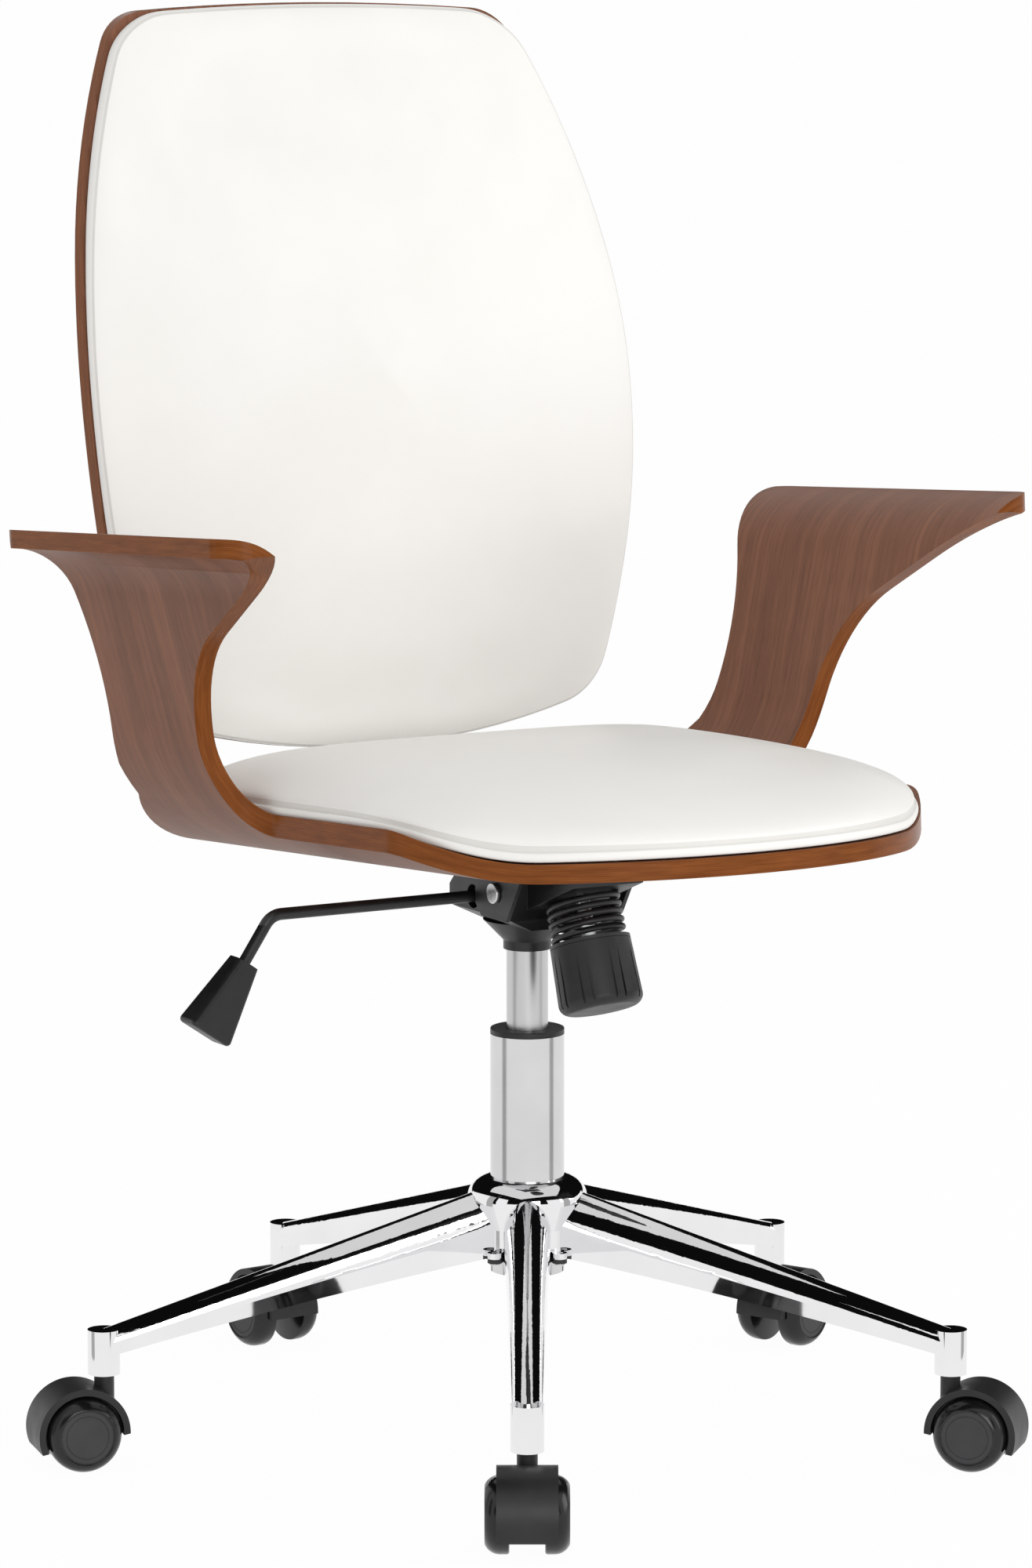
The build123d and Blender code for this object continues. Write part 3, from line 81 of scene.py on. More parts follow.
SEAT_PAD_SIDE_X = 0.196
SEAT_PAD_FRONT_R = 0.213
SEAT_PAD_FRONT_CENTRE_Y = -0.088
SEAT_PAD_REAR_Y = 0.187
SEAT_PAD_FRONT_CORNER_R = 0.03
SEAT_PAD_REAR_CORNER_R = 0.084
SEAT_PAD_MIDDLE_Y = -0.055
SEAT_PAD_BAND_H = 0.007
SEAT_PAD_SHOULDER = 7.0
SEAT_PAD_LEAST_RISE = 0.004
SEAT_PAD_STATIONS = (
    (-0.303, 0.026),
    (-0.240, 0.036),
    (-0.150, 0.045),
    (-0.060, 0.053),
    (0.040, 0.055),
    (0.130, 0.054),
    (0.190, 0.042),
)

BACK_FACE_Y = 0.217
BACK_BEND_Z = 0.5735
BACK_BEND_R = 0.690
BACK_LEAN = math.radians(18.5)
BACK_BOTTOM_Z = 0.4435
BACK_TOP_Z = 0.9585
BACK_WIDE_Z = 0.6935
BACK_HALF_W = 0.2125
BACK_UPPER_R = 0.575
BACK_LOWER_R = 0.700
BACK_BOTTOM_R = 0.550
BACK_TOP_R = 1.850
BACK_PAD_INSET = 0.002
BACK_PAD_LOW_CORNER_R = 0.019
BACK_PAD_HIGH_CORNER_R = 0.025
BACK_PAD_MIDDLE_Z = 0.705
BACK_PAD_RIM = 0.012
BACK_PAD_SEAM_DIP = 0.003
BACK_PAD_MIDDLE_RISE = 0.002
BACK_PAD_STATIONS = (
    (0.0, 0.004),
    (0.15, 0.015),
    (0.3, 0.021),
    (0.45, 0.024),
    (0.6, 0.024),
    (0.75, 0.020),
    (0.9, 0.012),
    (1.0, 0.004),
)

WHEEL_R = 0.025
WHEEL_INNER = 0.0112
WHEEL_TREAD_W = 0.006
WHEEL_DISC_R = 0.019
WHEEL_OUTER = 0.0268
WHEEL_BORE_R = 0.0031
WHEEL_BEVEL_STEPS = 8
DISC_GROOVE_R = 0.0147
HOOD_EDGE_R = 0.0012
GRIP_END_R = 0.005
SOCKET_CIRCLE_R = 0.2955
CASTER_TRAIL = 0.018
LEG_HEADINGS = [240.0 + 72.0 * k for k in range(5)]

# Light and camera of the photograph, in metres, millimetres of lens and degrees
FLOOR_GLOW_SHARE = 0.97
WORLD_LIGHT = 0.68
CAMERA_PLACE = (-2.0208, -3.5001, 1.0329)
CAMERA_LENS = 139.95
CAMERA_SHIFT_X = -0.00718
CAMERA_DIP = 8.2956
CAMERA_HEADING = -30


# Materials
def finish(name):
    """New material with its tree and its main shader."""
    material = bpy.data.materials.new(name)
    material.use_nodes = True
    tree = material.node_tree
    return material, tree, tree.nodes["Principled BSDF"]


def node(tree, kind, **settings):
    """New node of a kind, with its settings and the values of its inputs."""
    made = tree.nodes.new("ShaderNode" + kind)
    for key, value in settings.items():
        if key in made.inputs:
            made.inputs[key].default_value = value
        else:
            setattr(made, key, value)
    return made


def object_place(tree, scale):
    """Object coordinates, stretched by a scale along each axis."""
    place = node(tree, "TexCoord")
    mapping = node(tree, "Mapping", Scale=scale)
    tree.links.new(place.outputs["Object"], mapping.inputs["Vector"])
    return mapping.outputs["Vector"]


def surface_place(tree, attribute, scale):
    """A piece's own surface coordinates, stretched by a scale along each axis."""
    place = node(tree, "Attribute", attribute_name=attribute)
    mapping = node(tree, "Mapping", Scale=scale)
    tree.links.new(place.outputs["Vector"], mapping.inputs["Vector"])
    return mapping.outputs["Vector"]


def noise_on(tree, place, scale, detail=4.0, roughness=0.55, distortion=0.0):
    """Noise over a place; returns its value."""
    made = node(tree, "TexNoise", Scale=scale, Detail=detail, Roughness=roughness, Distortion=distortion)
    tree.links.new(place, made.inputs["Vector"])
    return made.outputs["Fac"]


def ramp_on(tree, value, *stops):
    """Colour ramp over a value; each stop is a position and a colour."""
    made = node(tree, "ValToRGB")
    ramp = made.color_ramp
    while len(ramp.elements) < len(stops):
        ramp.elements.new(0.5)
    for element, (position, colour) in zip(ramp.elements, stops):
        element.position = position
        element.color = (*colour, 1.0)
    tree.links.new(value, made.inputs["Fac"])
    return made.outputs["Color"]


def range_on(tree, value, low, high, start=0.0, end=1.0):
    """Value carried from one range to another."""
    made = node(tree, "MapRange")
    made.inputs["From Min"].default_value = start
    made.inputs["From Max"].default_value = end
    made.inputs["To Min"].default_value = low
    made.inputs["To Max"].default_value = high
    tree.links.new(value, made.inputs["Value"])
    return made.outputs["Result"]


def mix_on(tree, share, under, over, blend="MIX"):
    """Two colours mixed by a share, which is a number or a value."""
    made = node(tree, "Mix", data_type="RGBA", blend_type=blend)
    for socket, thing in ((made.inputs[0], share), (made.inputs[6], under), (made.inputs[7], over)):
        if isinstance(thing, bpy.types.NodeSocket):
            tree.links.new(thing, socket)
        elif isinstance(thing, tuple):
            socket.default_value = (*thing, 1.0)
        else:
            socket.default_value = thing
    return made.outputs[2]


def bump_on(tree, shader, height, strength, distance):
    """Bump on a shader from a height value."""
    made = node(tree, "Bump", Strength=strength, Distance=distance)
    tree.links.new(height, made.inputs["Height"])
    tree.links.new(made.outputs["Normal"], shader.inputs["Normal"])


def chrome_finish(name, dark, light, smooth, rough):
    """Polished plating with faint smudges."""
    material, tree, shader = finish(name)
    shader.inputs["Metallic"].default_value = 1.0
    smudge = noise_on(tree, object_place(tree, (1, 1, 1)), 14.0, 5.0)
    tone = ramp_on(tree, smudge, (0.3, (dark, dark, dark * 1.01)), (0.7, (light, light, light * 1.01)))
    tree.links.new(tone, shader.inputs["Base Color"])
    tree.links.new(range_on(tree, smudge, smooth, rough, 0.3, 0.7), shader.inputs["Roughness"])
    return material


def satin_finish():
    """Ground steel with fine streaks along its length."""
    material, tree, shader = finish("satin_steel")
    shader.inputs["Metallic"].default_value = 1.0
    streak = noise_on(tree, object_place(tree, (90, 90, 5)), 1.0, 3.0)
    tree.links.new(ramp_on(tree, streak, (0.3, (0.56, 0.56, 0.56)), (0.7, (0.62, 0.62, 0.615))),
                   shader.inputs["Base Color"])
    tree.links.new(range_on(tree, streak, 0.24, 0.36, 0.3, 0.7), shader.inputs["Roughness"])
    return material


def zinc_finish():
    """Zinc plating with a cloudy bloom."""
    material, tree, shader = finish("zinc_plate")
    shader.inputs["Metallic"].default_value = 1.0
    bloom = noise_on(tree, object_place(tree, (1, 1, 1)), 160.0, 5.0)
    tree.links.new(ramp_on(tree, bloom, (0.3, (0.56, 0.57, 0.58)), (0.7, (0.74, 0.745, 0.74))),
                   shader.inputs["Base Color"])
    tree.links.new(range_on(tree, bloom, 0.22, 0.36, 0.3, 0.7), shader.inputs["Roughness"])
    return material


def coat_finish():
    """Black powder coat with a fine speckle."""
    material, tree, shader = finish("black_powder_coat")
    speck = noise_on(tree, object_place(tree, (1, 1, 1)), 1400.0, 3.0)
    tone = noise_on(tree, object_place(tree, (1, 1, 1)), 35.0, 4.0)
    tree.links.new(ramp_on(tree, tone, (0.3, (0.008, 0.008, 0.009)), (0.7, (0.016, 0.016, 0.017))),
                   shader.inputs["Base Color"])
    tree.links.new(range_on(tree, tone, 0.34, 0.46, 0.3, 0.7), shader.inputs["Roughness"])
    bump_on(tree, shader, speck, 0.22, 0.0002)
    return material


def plastic_finish(name, dark, light, smooth, rough):
    """Moulded black plastic with a fine grain."""
    material, tree, shader = finish(name)
    grain = noise_on(tree, object_place(tree, (1, 1, 1)), 1900.0, 2.0)
    tone = noise_on(tree, object_place(tree, (1, 1, 1)), 50.0, 4.0)
    black = ramp_on(tree, tone, (0.3, (dark, dark, dark * 1.05)), (0.7, (light, light, light * 1.05)))
    tree.links.new(black, shader.inputs["Base Color"])
    tree.links.new(range_on(tree, tone, smooth, rough, 0.3, 0.7), shader.inputs["Roughness"])
    shader.inputs["Specular IOR Level"].default_value = 0.4
    bump_on(tree, shader, grain, 0.18, 0.00015)
    return material


def veneer_finish():
    """Walnut face veneer with streaks and pores along the grain."""
    material, tree, shader = finish("walnut_veneer")
    broad = noise_on(tree, surface_place(tree, "grain", (2.2, 26.0, 1.0)), 1.0, 3.0, 0.5, 0.6)
    streak = noise_on(tree, surface_place(tree, "grain", (5.0, 190.0, 1.0)), 1.0, 5.0, 0.6, 0.15)
    pore = noise_on(tree, surface_place(tree, "grain", (45.0, 1500.0, 1.0)), 1.0, 2.0)
    wood = ramp_on(tree, streak, (0.30, (0.195, 0.080, 0.045)), (0.50, (0.255, 0.107, 0.060)),
                   (0.72, (0.31, 0.136, 0.078)))
    shade = ramp_on(tree, broad, (0.32, (0.70, 0.68, 0.66)), (0.68, (1.0, 1.0, 1.0)))
    toned = mix_on(tree, 1.0, wood, shade, "MULTIPLY")
    pores = ramp_on(tree, pore, (0.36, (0.52, 0.50, 0.48)), (0.46, (1.0, 1.0, 1.0)))
    tree.links.new(mix_on(tree, 0.55, toned, mix_on(tree, 1.0, toned, pores, "MULTIPLY")),
                   shader.inputs["Base Color"])
    tree.links.new(range_on(tree, streak, 0.40, 0.50, 0.3, 0.7), shader.inputs["Roughness"])
    shader.inputs["Specular IOR Level"].default_value = 0.16
    bump_on(tree, shader, pore, 0.12, 0.0002)
    return material


def edge_finish():
    """Lacquered ply edge with its layers showing."""
    material, tree, shader = finish("lacquered_ply_edge")
    layers = node(tree, "TexWave", wave_type="BANDS", bands_direction="Z", wave_profile="TRI", Scale=1.0,
                  Distortion=0.6, Detail=2.0)
    across_layers = surface_place(tree, "grain", (2.0, 2.0, PLY_LAYERS / SHELL_T * math.pi / 10))
    tree.links.new(across_layers, layers.inputs["Vector"])
    streak = noise_on(tree, surface_place(tree, "grain", (30.0, 30.0, 400.0)), 1.0, 4.0)
    tone = ramp_on(tree, layers.outputs["Fac"], (0.15, (0.155, 0.044, 0.010)), (0.75, (0.24, 0.074, 0.018)))
    grained = ramp_on(tree, streak, (0.3, (0.125, 0.034, 0.008)), (0.7, (0.265, 0.085, 0.021)))
    tree.links.new(mix_on(tree, 0.6, tone, grained), shader.inputs["Base Color"])
    tree.links.new(range_on(tree, streak, 0.20, 0.30, 0.3, 0.7), shader.inputs["Roughness"])
    shader.inputs["Specular IOR Level"].default_value = 0.06
    shader.inputs["Coat Weight"].default_value = 0.03
    shader.inputs["Coat Roughness"].default_value = 0.12
    return material


def leather_finish(name, dark, light):
    """Pebbled leather."""
    material, tree, shader = finish(name)
    pebble = node(tree, "TexVoronoi", Scale=620.0, feature="SMOOTH_F1")
    tree.links.new(object_place(tree, (1, 1, 1)), pebble.inputs["Vector"])
    tone = noise_on(tree, object_place(tree, (1, 1, 1)), 9.0, 3.0)
    tree.links.new(ramp_on(tree, tone, (0.3, dark), (0.7, light)), shader.inputs["Base Color"])
    tree.links.new(range_on(tree, tone, 0.42, 0.52, 0.3, 0.7), shader.inputs["Roughness"])
    bump_on(tree, shader, pebble.outputs["Distance"], 0.10, 0.0004)
    return material


chrome = chrome_finish("mirror_chrome", 0.80, 0.86, 0.02, 0.06)
column_chrome = chrome_finish("column_chrome", 0.62, 0.70, 0.12, 0.17)
satin = satin_finish()
zinc = zinc_finish()
coat = coat_finish()
plastic = plastic_finish("black_plastic", 0.011, 0.018, 0.36, 0.48)
wheel_rim = plastic_finish("wheel_rim_plastic", 0.006, 0.010, 0.14, 0.22)
wheel_disc = plastic_finish("wheel_disc_plastic", 0.032, 0.044, 0.46, 0.58)
rubber = plastic_finish("buffer_rubber", 0.012, 0.02, 0.6, 0.8)
veneer = veneer_finish()
ply_edge = edge_finish()
leather = leather_finish("cream_leather", (0.86, 0.845, 0.81), (0.89, 0.88, 0.85))
# Darker leather for the faces along each cushion's panel seam: painted shade of the seam's groove.
seam = leather_finish("seam_painted_shade", (0.70, 0.685, 0.65), (0.76, 0.745, 0.71))
slot_finish = {
    "chrome": chrome, "satin_steel": satin, "zinc": zinc, "black_steel": coat, "black_plastic": plastic,
    "wheel_plastic": wheel_rim, "rubber": rubber, "walnut_ply": veneer, "white_leather": leather,
}
node_finish = {"column_tube": column_chrome}
node_slot = {part["node"]: part["material_slot"] for part in frame["record"]["subparts"]}
for name, cad_node in nodes.items():
    cad_node.data.materials.clear()
    cad_node.data.materials.append(node_finish.get(name, slot_finish[node_slot[name]]))


# Pieces
def settle(form, name, body, stands_for, materials, sharp=40.0):
    """Turn a finished form into a piece that rides a body and stands for CAD nodes."""
    mesh = bpy.data.meshes.new(name)
    form.to_mesh(mesh)
    form.free()
    for material in materials:
        mesh.materials.append(material)
    mesh.polygons.foreach_set("use_smooth", [True] * len(mesh.polygons))
    mesh.set_sharp_from_angle(angle=math.radians(sharp))
    piece = bpy.data.objects.new(name, mesh)
    bpy.context.scene.collection.objects.link(piece)
    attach(piece, body)
    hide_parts(*stands_for)
    return piece


def merged_copy(name):
    """Copy of a CAD node's form with its triangles joined and its flat faces made whole."""
    form = bmesh.new()
    form.from_mesh(nodes[name].data)
    bmesh.ops.remove_doubles(form, verts=form.verts, dist=2e-6)
    bmesh.ops.dissolve_limit(form, angle_limit=math.radians(0.2), use_dissolve_boundaries=False,
                             verts=form.verts, edges=form.edges)
    return form


def soften(form, width, angle, segments=2):
    """Round the edges of a form that are sharper than an angle."""
    least = math.radians(angle)
    edges = [e for e in form.edges if len(e.link_faces) == 2 and e.calc_face_angle(0.0) > least]
    bmesh.ops.bevel(form, geom=edges, offset=width, offset_type="OFFSET", segments=segments, profile=0.5,
                    affect="EDGES", clamp_overlap=True, material=-1)


def even_flats(piece):
    """Keep the light even on flat faces that meet rounded edges."""
    flats = piece.modifiers.new("even_flats", "WEIGHTED_NORMAL")
    flats.keep_sharp = True


def softened(name, width, angle=35.0, segments=2):
    """Piece that stands for one CAD node, with its sharp edges rounded."""
    form = merged_copy(name)
    soften(form, width, angle, segments)
    slot = node_slot[name]
    even_flats(settle(form, name + "_finished", nodes[name]["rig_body"], [name], [slot_finish[slot]]))


# Bent ply of the seat and the back
seat_back = Vector((0, math.cos(SEAT_TILT), -math.sin(SEAT_TILT)))
seat_up = Vector((0, math.sin(SEAT_TILT), math.cos(SEAT_TILT)))
seat_centre = Vector((0, 0, SEAT_Z))
arm_up = math.pi / 2 - ARM_LEAN
arm_out = Vector((math.sin(arm_up), -math.cos(arm_up)))
arm_along = Vector((math.cos(arm_up), math.sin(arm_up)))
bend_centre = Vector((FLAT_HALF_W, BEND_R))
flare_centre = bend_centre + arm_out * (BEND_R + FLARE_R) + arm_along * ARM_STRAIGHT


def strip_place(point):
    """Distance along the bent strip, across it, and below its sitting face."""
    local = point - seat_centre
    side = Vector((abs(local.x), local.dot(seat_up)))
    from_bend = side - bend_centre
    turned = math.atan2(from_bend.x, -from_bend.y)
    if side.x <= FLAT_HALF_W:
        along, depth = side.x, -side.y
    elif turned < arm_up:
        along, depth = FLAT_HALF_W + BEND_R * turned, from_bend.length - BEND_R
    else:
        climbed = from_bend.dot(arm_along)
        along, depth = FLAT_HALF_W + BEND_R * arm_up + climbed, from_bend.dot(arm_out) - BEND_R
        if climbed > ARM_STRAIGHT:
            from_flare = side - flare_centre
            bent = math.atan2(from_flare.dot(arm_along), -from_flare.dot(arm_out))
            along += FLARE_R * bent - (climbed - ARM_STRAIGHT)
            depth = FLARE_R - from_flare.length
    return Vector((math.copysign(along, local.x), local.dot(seat_back), depth))


def back_face(z):
    """Depth of the back ply's front face at a height."""
    bend_top = BACK_BEND_Z + BACK_BEND_R * math.sin(BACK_LEAN)
    if z < BACK_BEND_Z:
        return BACK_FACE_Y
    if z < bend_top:
        return BACK_FACE_Y + BACK_BEND_R - math.sqrt(BACK_BEND_R**2 - (z - BACK_BEND_Z) ** 2)
    return BACK_FACE_Y + BACK_BEND_R * (1 - math.cos(BACK_LEAN)) + (z - bend_top) * math.tan(BACK_LEAN)


def back_place(point):
    """Height on the back ply, distance across it, and depth behind its front face."""
    lean = min(max(0.0, math.asin(min(1.0, (point.z - BACK_BEND_Z) / BACK_BEND_R))), BACK_LEAN)
    return Vector((point.z, point.x, (point.y - back_face(point.z)) * math.cos(lean)))


def ply_piece(name, place):
    """Ply part with veneered faces and lacquered edges, its grain laid along the ply."""
    form = merged_copy(name)
    soften(form, PLY_EDGE_R, 50.0)
    form.normal_update()
    for face in form.faces:
        middle, step = face.calc_center_median(), face.normal * FACE_STEP
        sunk = place(middle + step).z - place(middle - step).z
        face.material_index = 0 if abs(sunk) > 2 * FACE_STEP * math.cos(FACE_TURN) else 1
    piece = settle(form, name + "_veneered", "seat", [name], [veneer, ply_edge], 30.0)
    grain = piece.data.attributes.new("grain", "FLOAT_VECTOR", "POINT")
    grain.data.foreach_set("vector", [c for v in piece.data.vertices for c in place(v.co)])
    even_flats(piece)


ply_piece("seat_shell", strip_place)
ply_piece("back_shell", back_place)


# Sewn cushions
def rounded_and(first, second, radius):
    """Signed distance inside both of two outlines, with a rounded corner where they meet."""
    a, b = first + radius, second + radius
    return min(max(a, b), 0.0) + math.hypot(max(a, 0.0), max(b, 0.0)) - radius


def seat_pad_edge(x, y):
    """Signed distance from the seat cushion's plan outline, negative inside."""
    front = math.hypot(x, y - SEAT_PAD_FRONT_CENTRE_Y) - SEAT_PAD_FRONT_R
    if y > SEAT_PAD_FRONT_CENTRE_Y:
        front = abs(x) - SEAT_PAD_FRONT_R
    sides = rounded_and(abs(x) - SEAT_PAD_SIDE_X, front, SEAT_PAD_FRONT_CORNER_R)
    return rounded_and(sides, y - SEAT_PAD_REAR_Y, SEAT_PAD_REAR_CORNER_R)


def back_pad_edge(x, z):
    """Signed distance from the back cushion's outline in front view, negative inside."""
    side_r = BACK_UPPER_R if z > BACK_WIDE_Z else BACK_LOWER_R
    side = math.hypot(abs(x) - BACK_HALF_W + side_r, z - BACK_WIDE_Z) - side_r + BACK_PAD_INSET
    low = math.hypot(x, z - BACK_BOTTOM_Z - BACK_BOTTOM_R) - BACK_BOTTOM_R + BACK_PAD_INSET
    high = math.hypot(x, z - BACK_TOP_Z + BACK_TOP_R) - BACK_TOP_R + BACK_PAD_INSET
    if z < BACK_PAD_MIDDLE_Z:
        return rounded_and(side, low, BACK_PAD_LOW_CORNER_R)
    return rounded_and(side, high, BACK_PAD_HIGH_CORNER_R)


def outline_reach(edge, middle, turn):
    """Distance from a middle to an outline in a direction."""
    step = Vector((math.cos(turn), math.sin(turn)))
    near, far = 0.0, 0.5
    for _ in range(26):
        reach = (near + far) / 2
        inside = edge(step.x * reach, middle + step.y * reach) < 0
        near, far = (reach, far) if inside else (near, reach)
    return near


PAD_SEGMENTS = 240
PAD_PANEL_RINGS = 34
PAD_BAND_RINGS = 10
PAD_BASE_RINGS = 6
PAD_SEAM_RING = PAD_PANEL_RINGS
PAD_LOW_RING = PAD_PANEL_RINGS + PAD_BAND_RINGS
PAD_RINGS = PAD_PANEL_RINGS + PAD_BAND_RINGS + PAD_BASE_RINGS
SEAM_DEPTH = 0.0018
BAND_BULGE = 0.0012
PAD_LIFT = 0.0006
PAD_RING_CROWDING = 1.6
FILL_STEPS = 20
SEAT_FILL_CAP = 0.002
BACK_FILL_CAP = 0.003


def pad_form(edge, middle, surface):
    """Cushion from a ball: its upper rings become the panel, then the boxing band, then the base.

    surface(across, along, share, level) gives a place: share is 1 at the seam, level goes from 1 at the
    panel's seam to 0 on the ply.
    """
    form = bmesh.new()
    bmesh.ops.create_uvsphere(form, u_segments=PAD_SEGMENTS, v_segments=PAD_RINGS, radius=1.0)
    form.verts.ensure_lookup_table()
    reaches = {}
    rings = []
    for vert in form.verts:
        ring = round(math.acos(max(-1.0, min(1.0, vert.co.z))) / math.pi * PAD_RINGS)
        turn = math.atan2(vert.co.y, vert.co.x)
        key = round(turn * 1e4)
        if key not in reaches:
            reaches[key] = outline_reach(edge, middle, turn)
        reach = reaches[key]
        drawn_in = SEAM_DEPTH if ring in (PAD_SEAM_RING, PAD_LOW_RING) else 0.0
        if ring <= PAD_SEAM_RING:
            share = 1.0 - (1.0 - ring / PAD_PANEL_RINGS) ** PAD_RING_CROWDING
            level = 1.0
            reach = share * reach - drawn_in
        elif ring <= PAD_LOW_RING:
            share = 1.0
            level = 1.0 - (ring - PAD_SEAM_RING) / PAD_BAND_RINGS
            reach = reach - drawn_in + BAND_BULGE * math.sin(math.pi * level)
        else:
            share = 1.0 - (ring - PAD_LOW_RING) / PAD_BASE_RINGS
            level = 0.0
            reach = share * (reach - SEAM_DEPTH)
        vert.co = surface(reach * math.cos(turn), middle + reach * math.sin(turn), share, level)
        rings.append(ring)
    for face in form.faces:
        # Faces on the panel's seam ring take the darker seam leather, painted shade in the groove.
        face.material_index = 1 if any(rings[v.index] == PAD_SEAM_RING for v in face.verts) else 0
    bmesh.ops.recalc_face_normals(form, faces=form.faces)
    return form, rings


seat_crown = np.polynomial.Polynomial.fit(*zip(*SEAT_PAD_STATIONS), 5)
back_crown = np.polynomial.Polynomial.fit(*zip(*BACK_PAD_STATIONS), 4)


def shell_top(x):
    """Height of the seat ply's sitting face a distance from the middle."""
    past = max(0.0, abs(x) - FLAT_HALF_W)
    return BEND_R - math.sqrt(BEND_R**2 - past**2)


def seat_surface(x, y, share, level):
    """Place on the seat cushion."""
    floor = shell_top(x) + PAD_LIFT
    if level < 1.0:
        height = floor + SEAT_PAD_BAND_H * level
    else:
        seam_height = floor + SEAT_PAD_BAND_H
        dome = math.sqrt(max(0.0, 1 - share**SEAT_PAD_SHOULDER))
        height = seam_height + max(seat_crown(y) - seam_height, SEAT_PAD_LEAST_RISE) * dome
    return seat_centre + Vector((x, 0, 0)) + seat_back * y + seat_up * height


def back_surface(x, z, share, level):
    """Place on the back cushion."""
    climb = (z - BACK_BOTTOM_Z) / (BACK_TOP_Z - BACK_BOTTOM_Z)
    crown = back_crown(climb) * (1 - (x / BACK_HALF_W) ** 2)
    crown = crown - BACK_PAD_SEAM_DIP * share**14 + BACK_PAD_MIDDLE_RISE * (1 - share**4)
    depth = PAD_LIFT + (BACK_PAD_RIM + crown) * level
    return Vector((x, back_face(z) - depth, z))


def sewn(name, form, rings, cap):
    """Cushion whose panel and band fill out between their seams, simulated under a little pressure."""
    settled = [v.co.copy() for v in form.verts]
    piece = settle(form, name + "_sewn", "seat", [name], [leather, seam], 60.0)
    held = piece.vertex_groups.new(name="seams")
    for index, ring in enumerate(rings):
        if ring == PAD_SEAM_RING or ring >= PAD_LOW_RING:
            held.add([index], 1.0, "REPLACE")
    cloth = piece.modifiers.new("filling", "CLOTH")
    cloth.settings.quality = 5
    cloth.settings.mass = 0.3
    cloth.settings.tension_stiffness = 40
    cloth.settings.compression_stiffness = 40
    cloth.settings.bending_stiffness = 12.0
    cloth.settings.use_pressure = True
    cloth.settings.uniform_pressure_force = 1.2
    cloth.settings.effector_weights.gravity = 0
    cloth.settings.vertex_group_mass = "seams"
    cloth.collision_settings.use_collision = False
    cloth.point_cache.frame_start = 1
    cloth.point_cache.frame_end = FILL_STEPS
    for step in range(1, FILL_STEPS + 1):
        bpy.context.scene.frame_set(step)
    filled = piece.evaluated_get(bpy.context.evaluated_depsgraph_get()).data
    moves = [filled.vertices[k].co - settled[k] for k in range(len(settled))]
    ring_moves = {}
    for ring, move in zip(rings, moves):
        ring_moves.setdefault(ring, []).append(move)
    even = {ring: sum(found, Vector()) / len(found) for ring, found in ring_moves.items()}
    for index, ring in enumerate(rings):
        if ring < PAD_SEAM_RING:
            moves[index] = even[ring].lerp(moves[index], (ring / PAD_PANEL_RINGS) ** 2)
    piece.modifiers.remove(cloth)
    piece.vertex_groups.remove(held)
    bpy.context.scene.frame_set(1)
    for vert, start, move in zip(piece.data.vertices, settled, moves):
        length = move.length
        vert.co = start + move * (min(1.0, cap / length) if length > 0 else 0.0)
    rounding = piece.modifiers.new("rounding", "SUBSURF")
    rounding.levels = 1
    rounding.render_levels = 1


seat_form, seat_rings = pad_form(seat_pad_edge, SEAT_PAD_MIDDLE_Y, seat_surface)
sewn("seat_cushion", seat_form, seat_rings, SEAT_FILL_CAP)
back_form, back_rings = pad_form(back_pad_edge, BACK_PAD_MIDDLE_Z, back_surface)
sewn("back_cushion", back_form, back_rings, BACK_FILL_CAP)


# Casters
def lathe(profile, steps=96):
    """Form turned about Z from (radius, height) points that start and end on or near the axis."""
    form = bmesh.new()
    verts = [form.verts.new((radius, 0, height)) for radius, height in profile]
    edges = [form.edges.new(pair) for pair in zip(verts, verts[1:])]
    bmesh.ops.spin(form, geom=verts + edges, cent=(0, 0, 0), axis=(0, 0, 1), angle=math.tau, steps=steps,
                   use_merge=True, use_duplicate=False)
    bmesh.ops.remove_doubles(form, verts=form.verts, dist=1e-6)
    bmesh.ops.recalc_face_normals(form, faces=form.faces)
    return form


# Profile of a wheel: inner face, tread, rounded bevel, then the disc with its two grooves
bevel_h = WHEEL_R - WHEEL_DISC_R
bevel_w = WHEEL_OUTER - WHEEL_INNER - WHEEL_TREAD_W
bevel_r = (bevel_h**2 + bevel_w**2) / (2 * bevel_h)
bevel_turn = math.asin(bevel_w / bevel_r)
wheel_profile = [
    (WHEEL_BORE_R, WHEEL_INNER),
    (WHEEL_R - 0.0015, WHEEL_INNER),
    (WHEEL_R - 0.0004, WHEEL_INNER + 0.0005),
    (WHEEL_R, WHEEL_INNER + 0.0016),
]
for k in range(WHEEL_BEVEL_STEPS + 1):
    turn = bevel_turn * k / WHEEL_BEVEL_STEPS
    wheel_profile.append((WHEEL_R - bevel_r * (1 - math.cos(turn)),
                          WHEEL_INNER + WHEEL_TREAD_W + bevel_r * math.sin(turn)))
wheel_profile += [
    (WHEEL_DISC_R - 0.0003, WHEEL_OUTER + 0.0001),
    (WHEEL_DISC_R - 0.0007, WHEEL_OUTER - 0.0002),
    (WHEEL_DISC_R - 0.0009, WHEEL_OUTER - 0.0009),
    (WHEEL_DISC_R - 0.0013, WHEEL_OUTER - 0.0009),
    (WHEEL_DISC_R - 0.0016, WHEEL_OUTER - 0.0006),
    (DISC_GROOVE_R, WHEEL_OUTER - 0.0005),
    (DISC_GROOVE_R - 0.0002, WHEEL_OUTER - 0.0008),
    (DISC_GROOVE_R - 0.0005, WHEEL_OUTER - 0.0008),
    (DISC_GROOVE_R - 0.0007, WHEEL_OUTER - 0.0005),
    (0.0, WHEEL_OUTER - 0.0004),
]


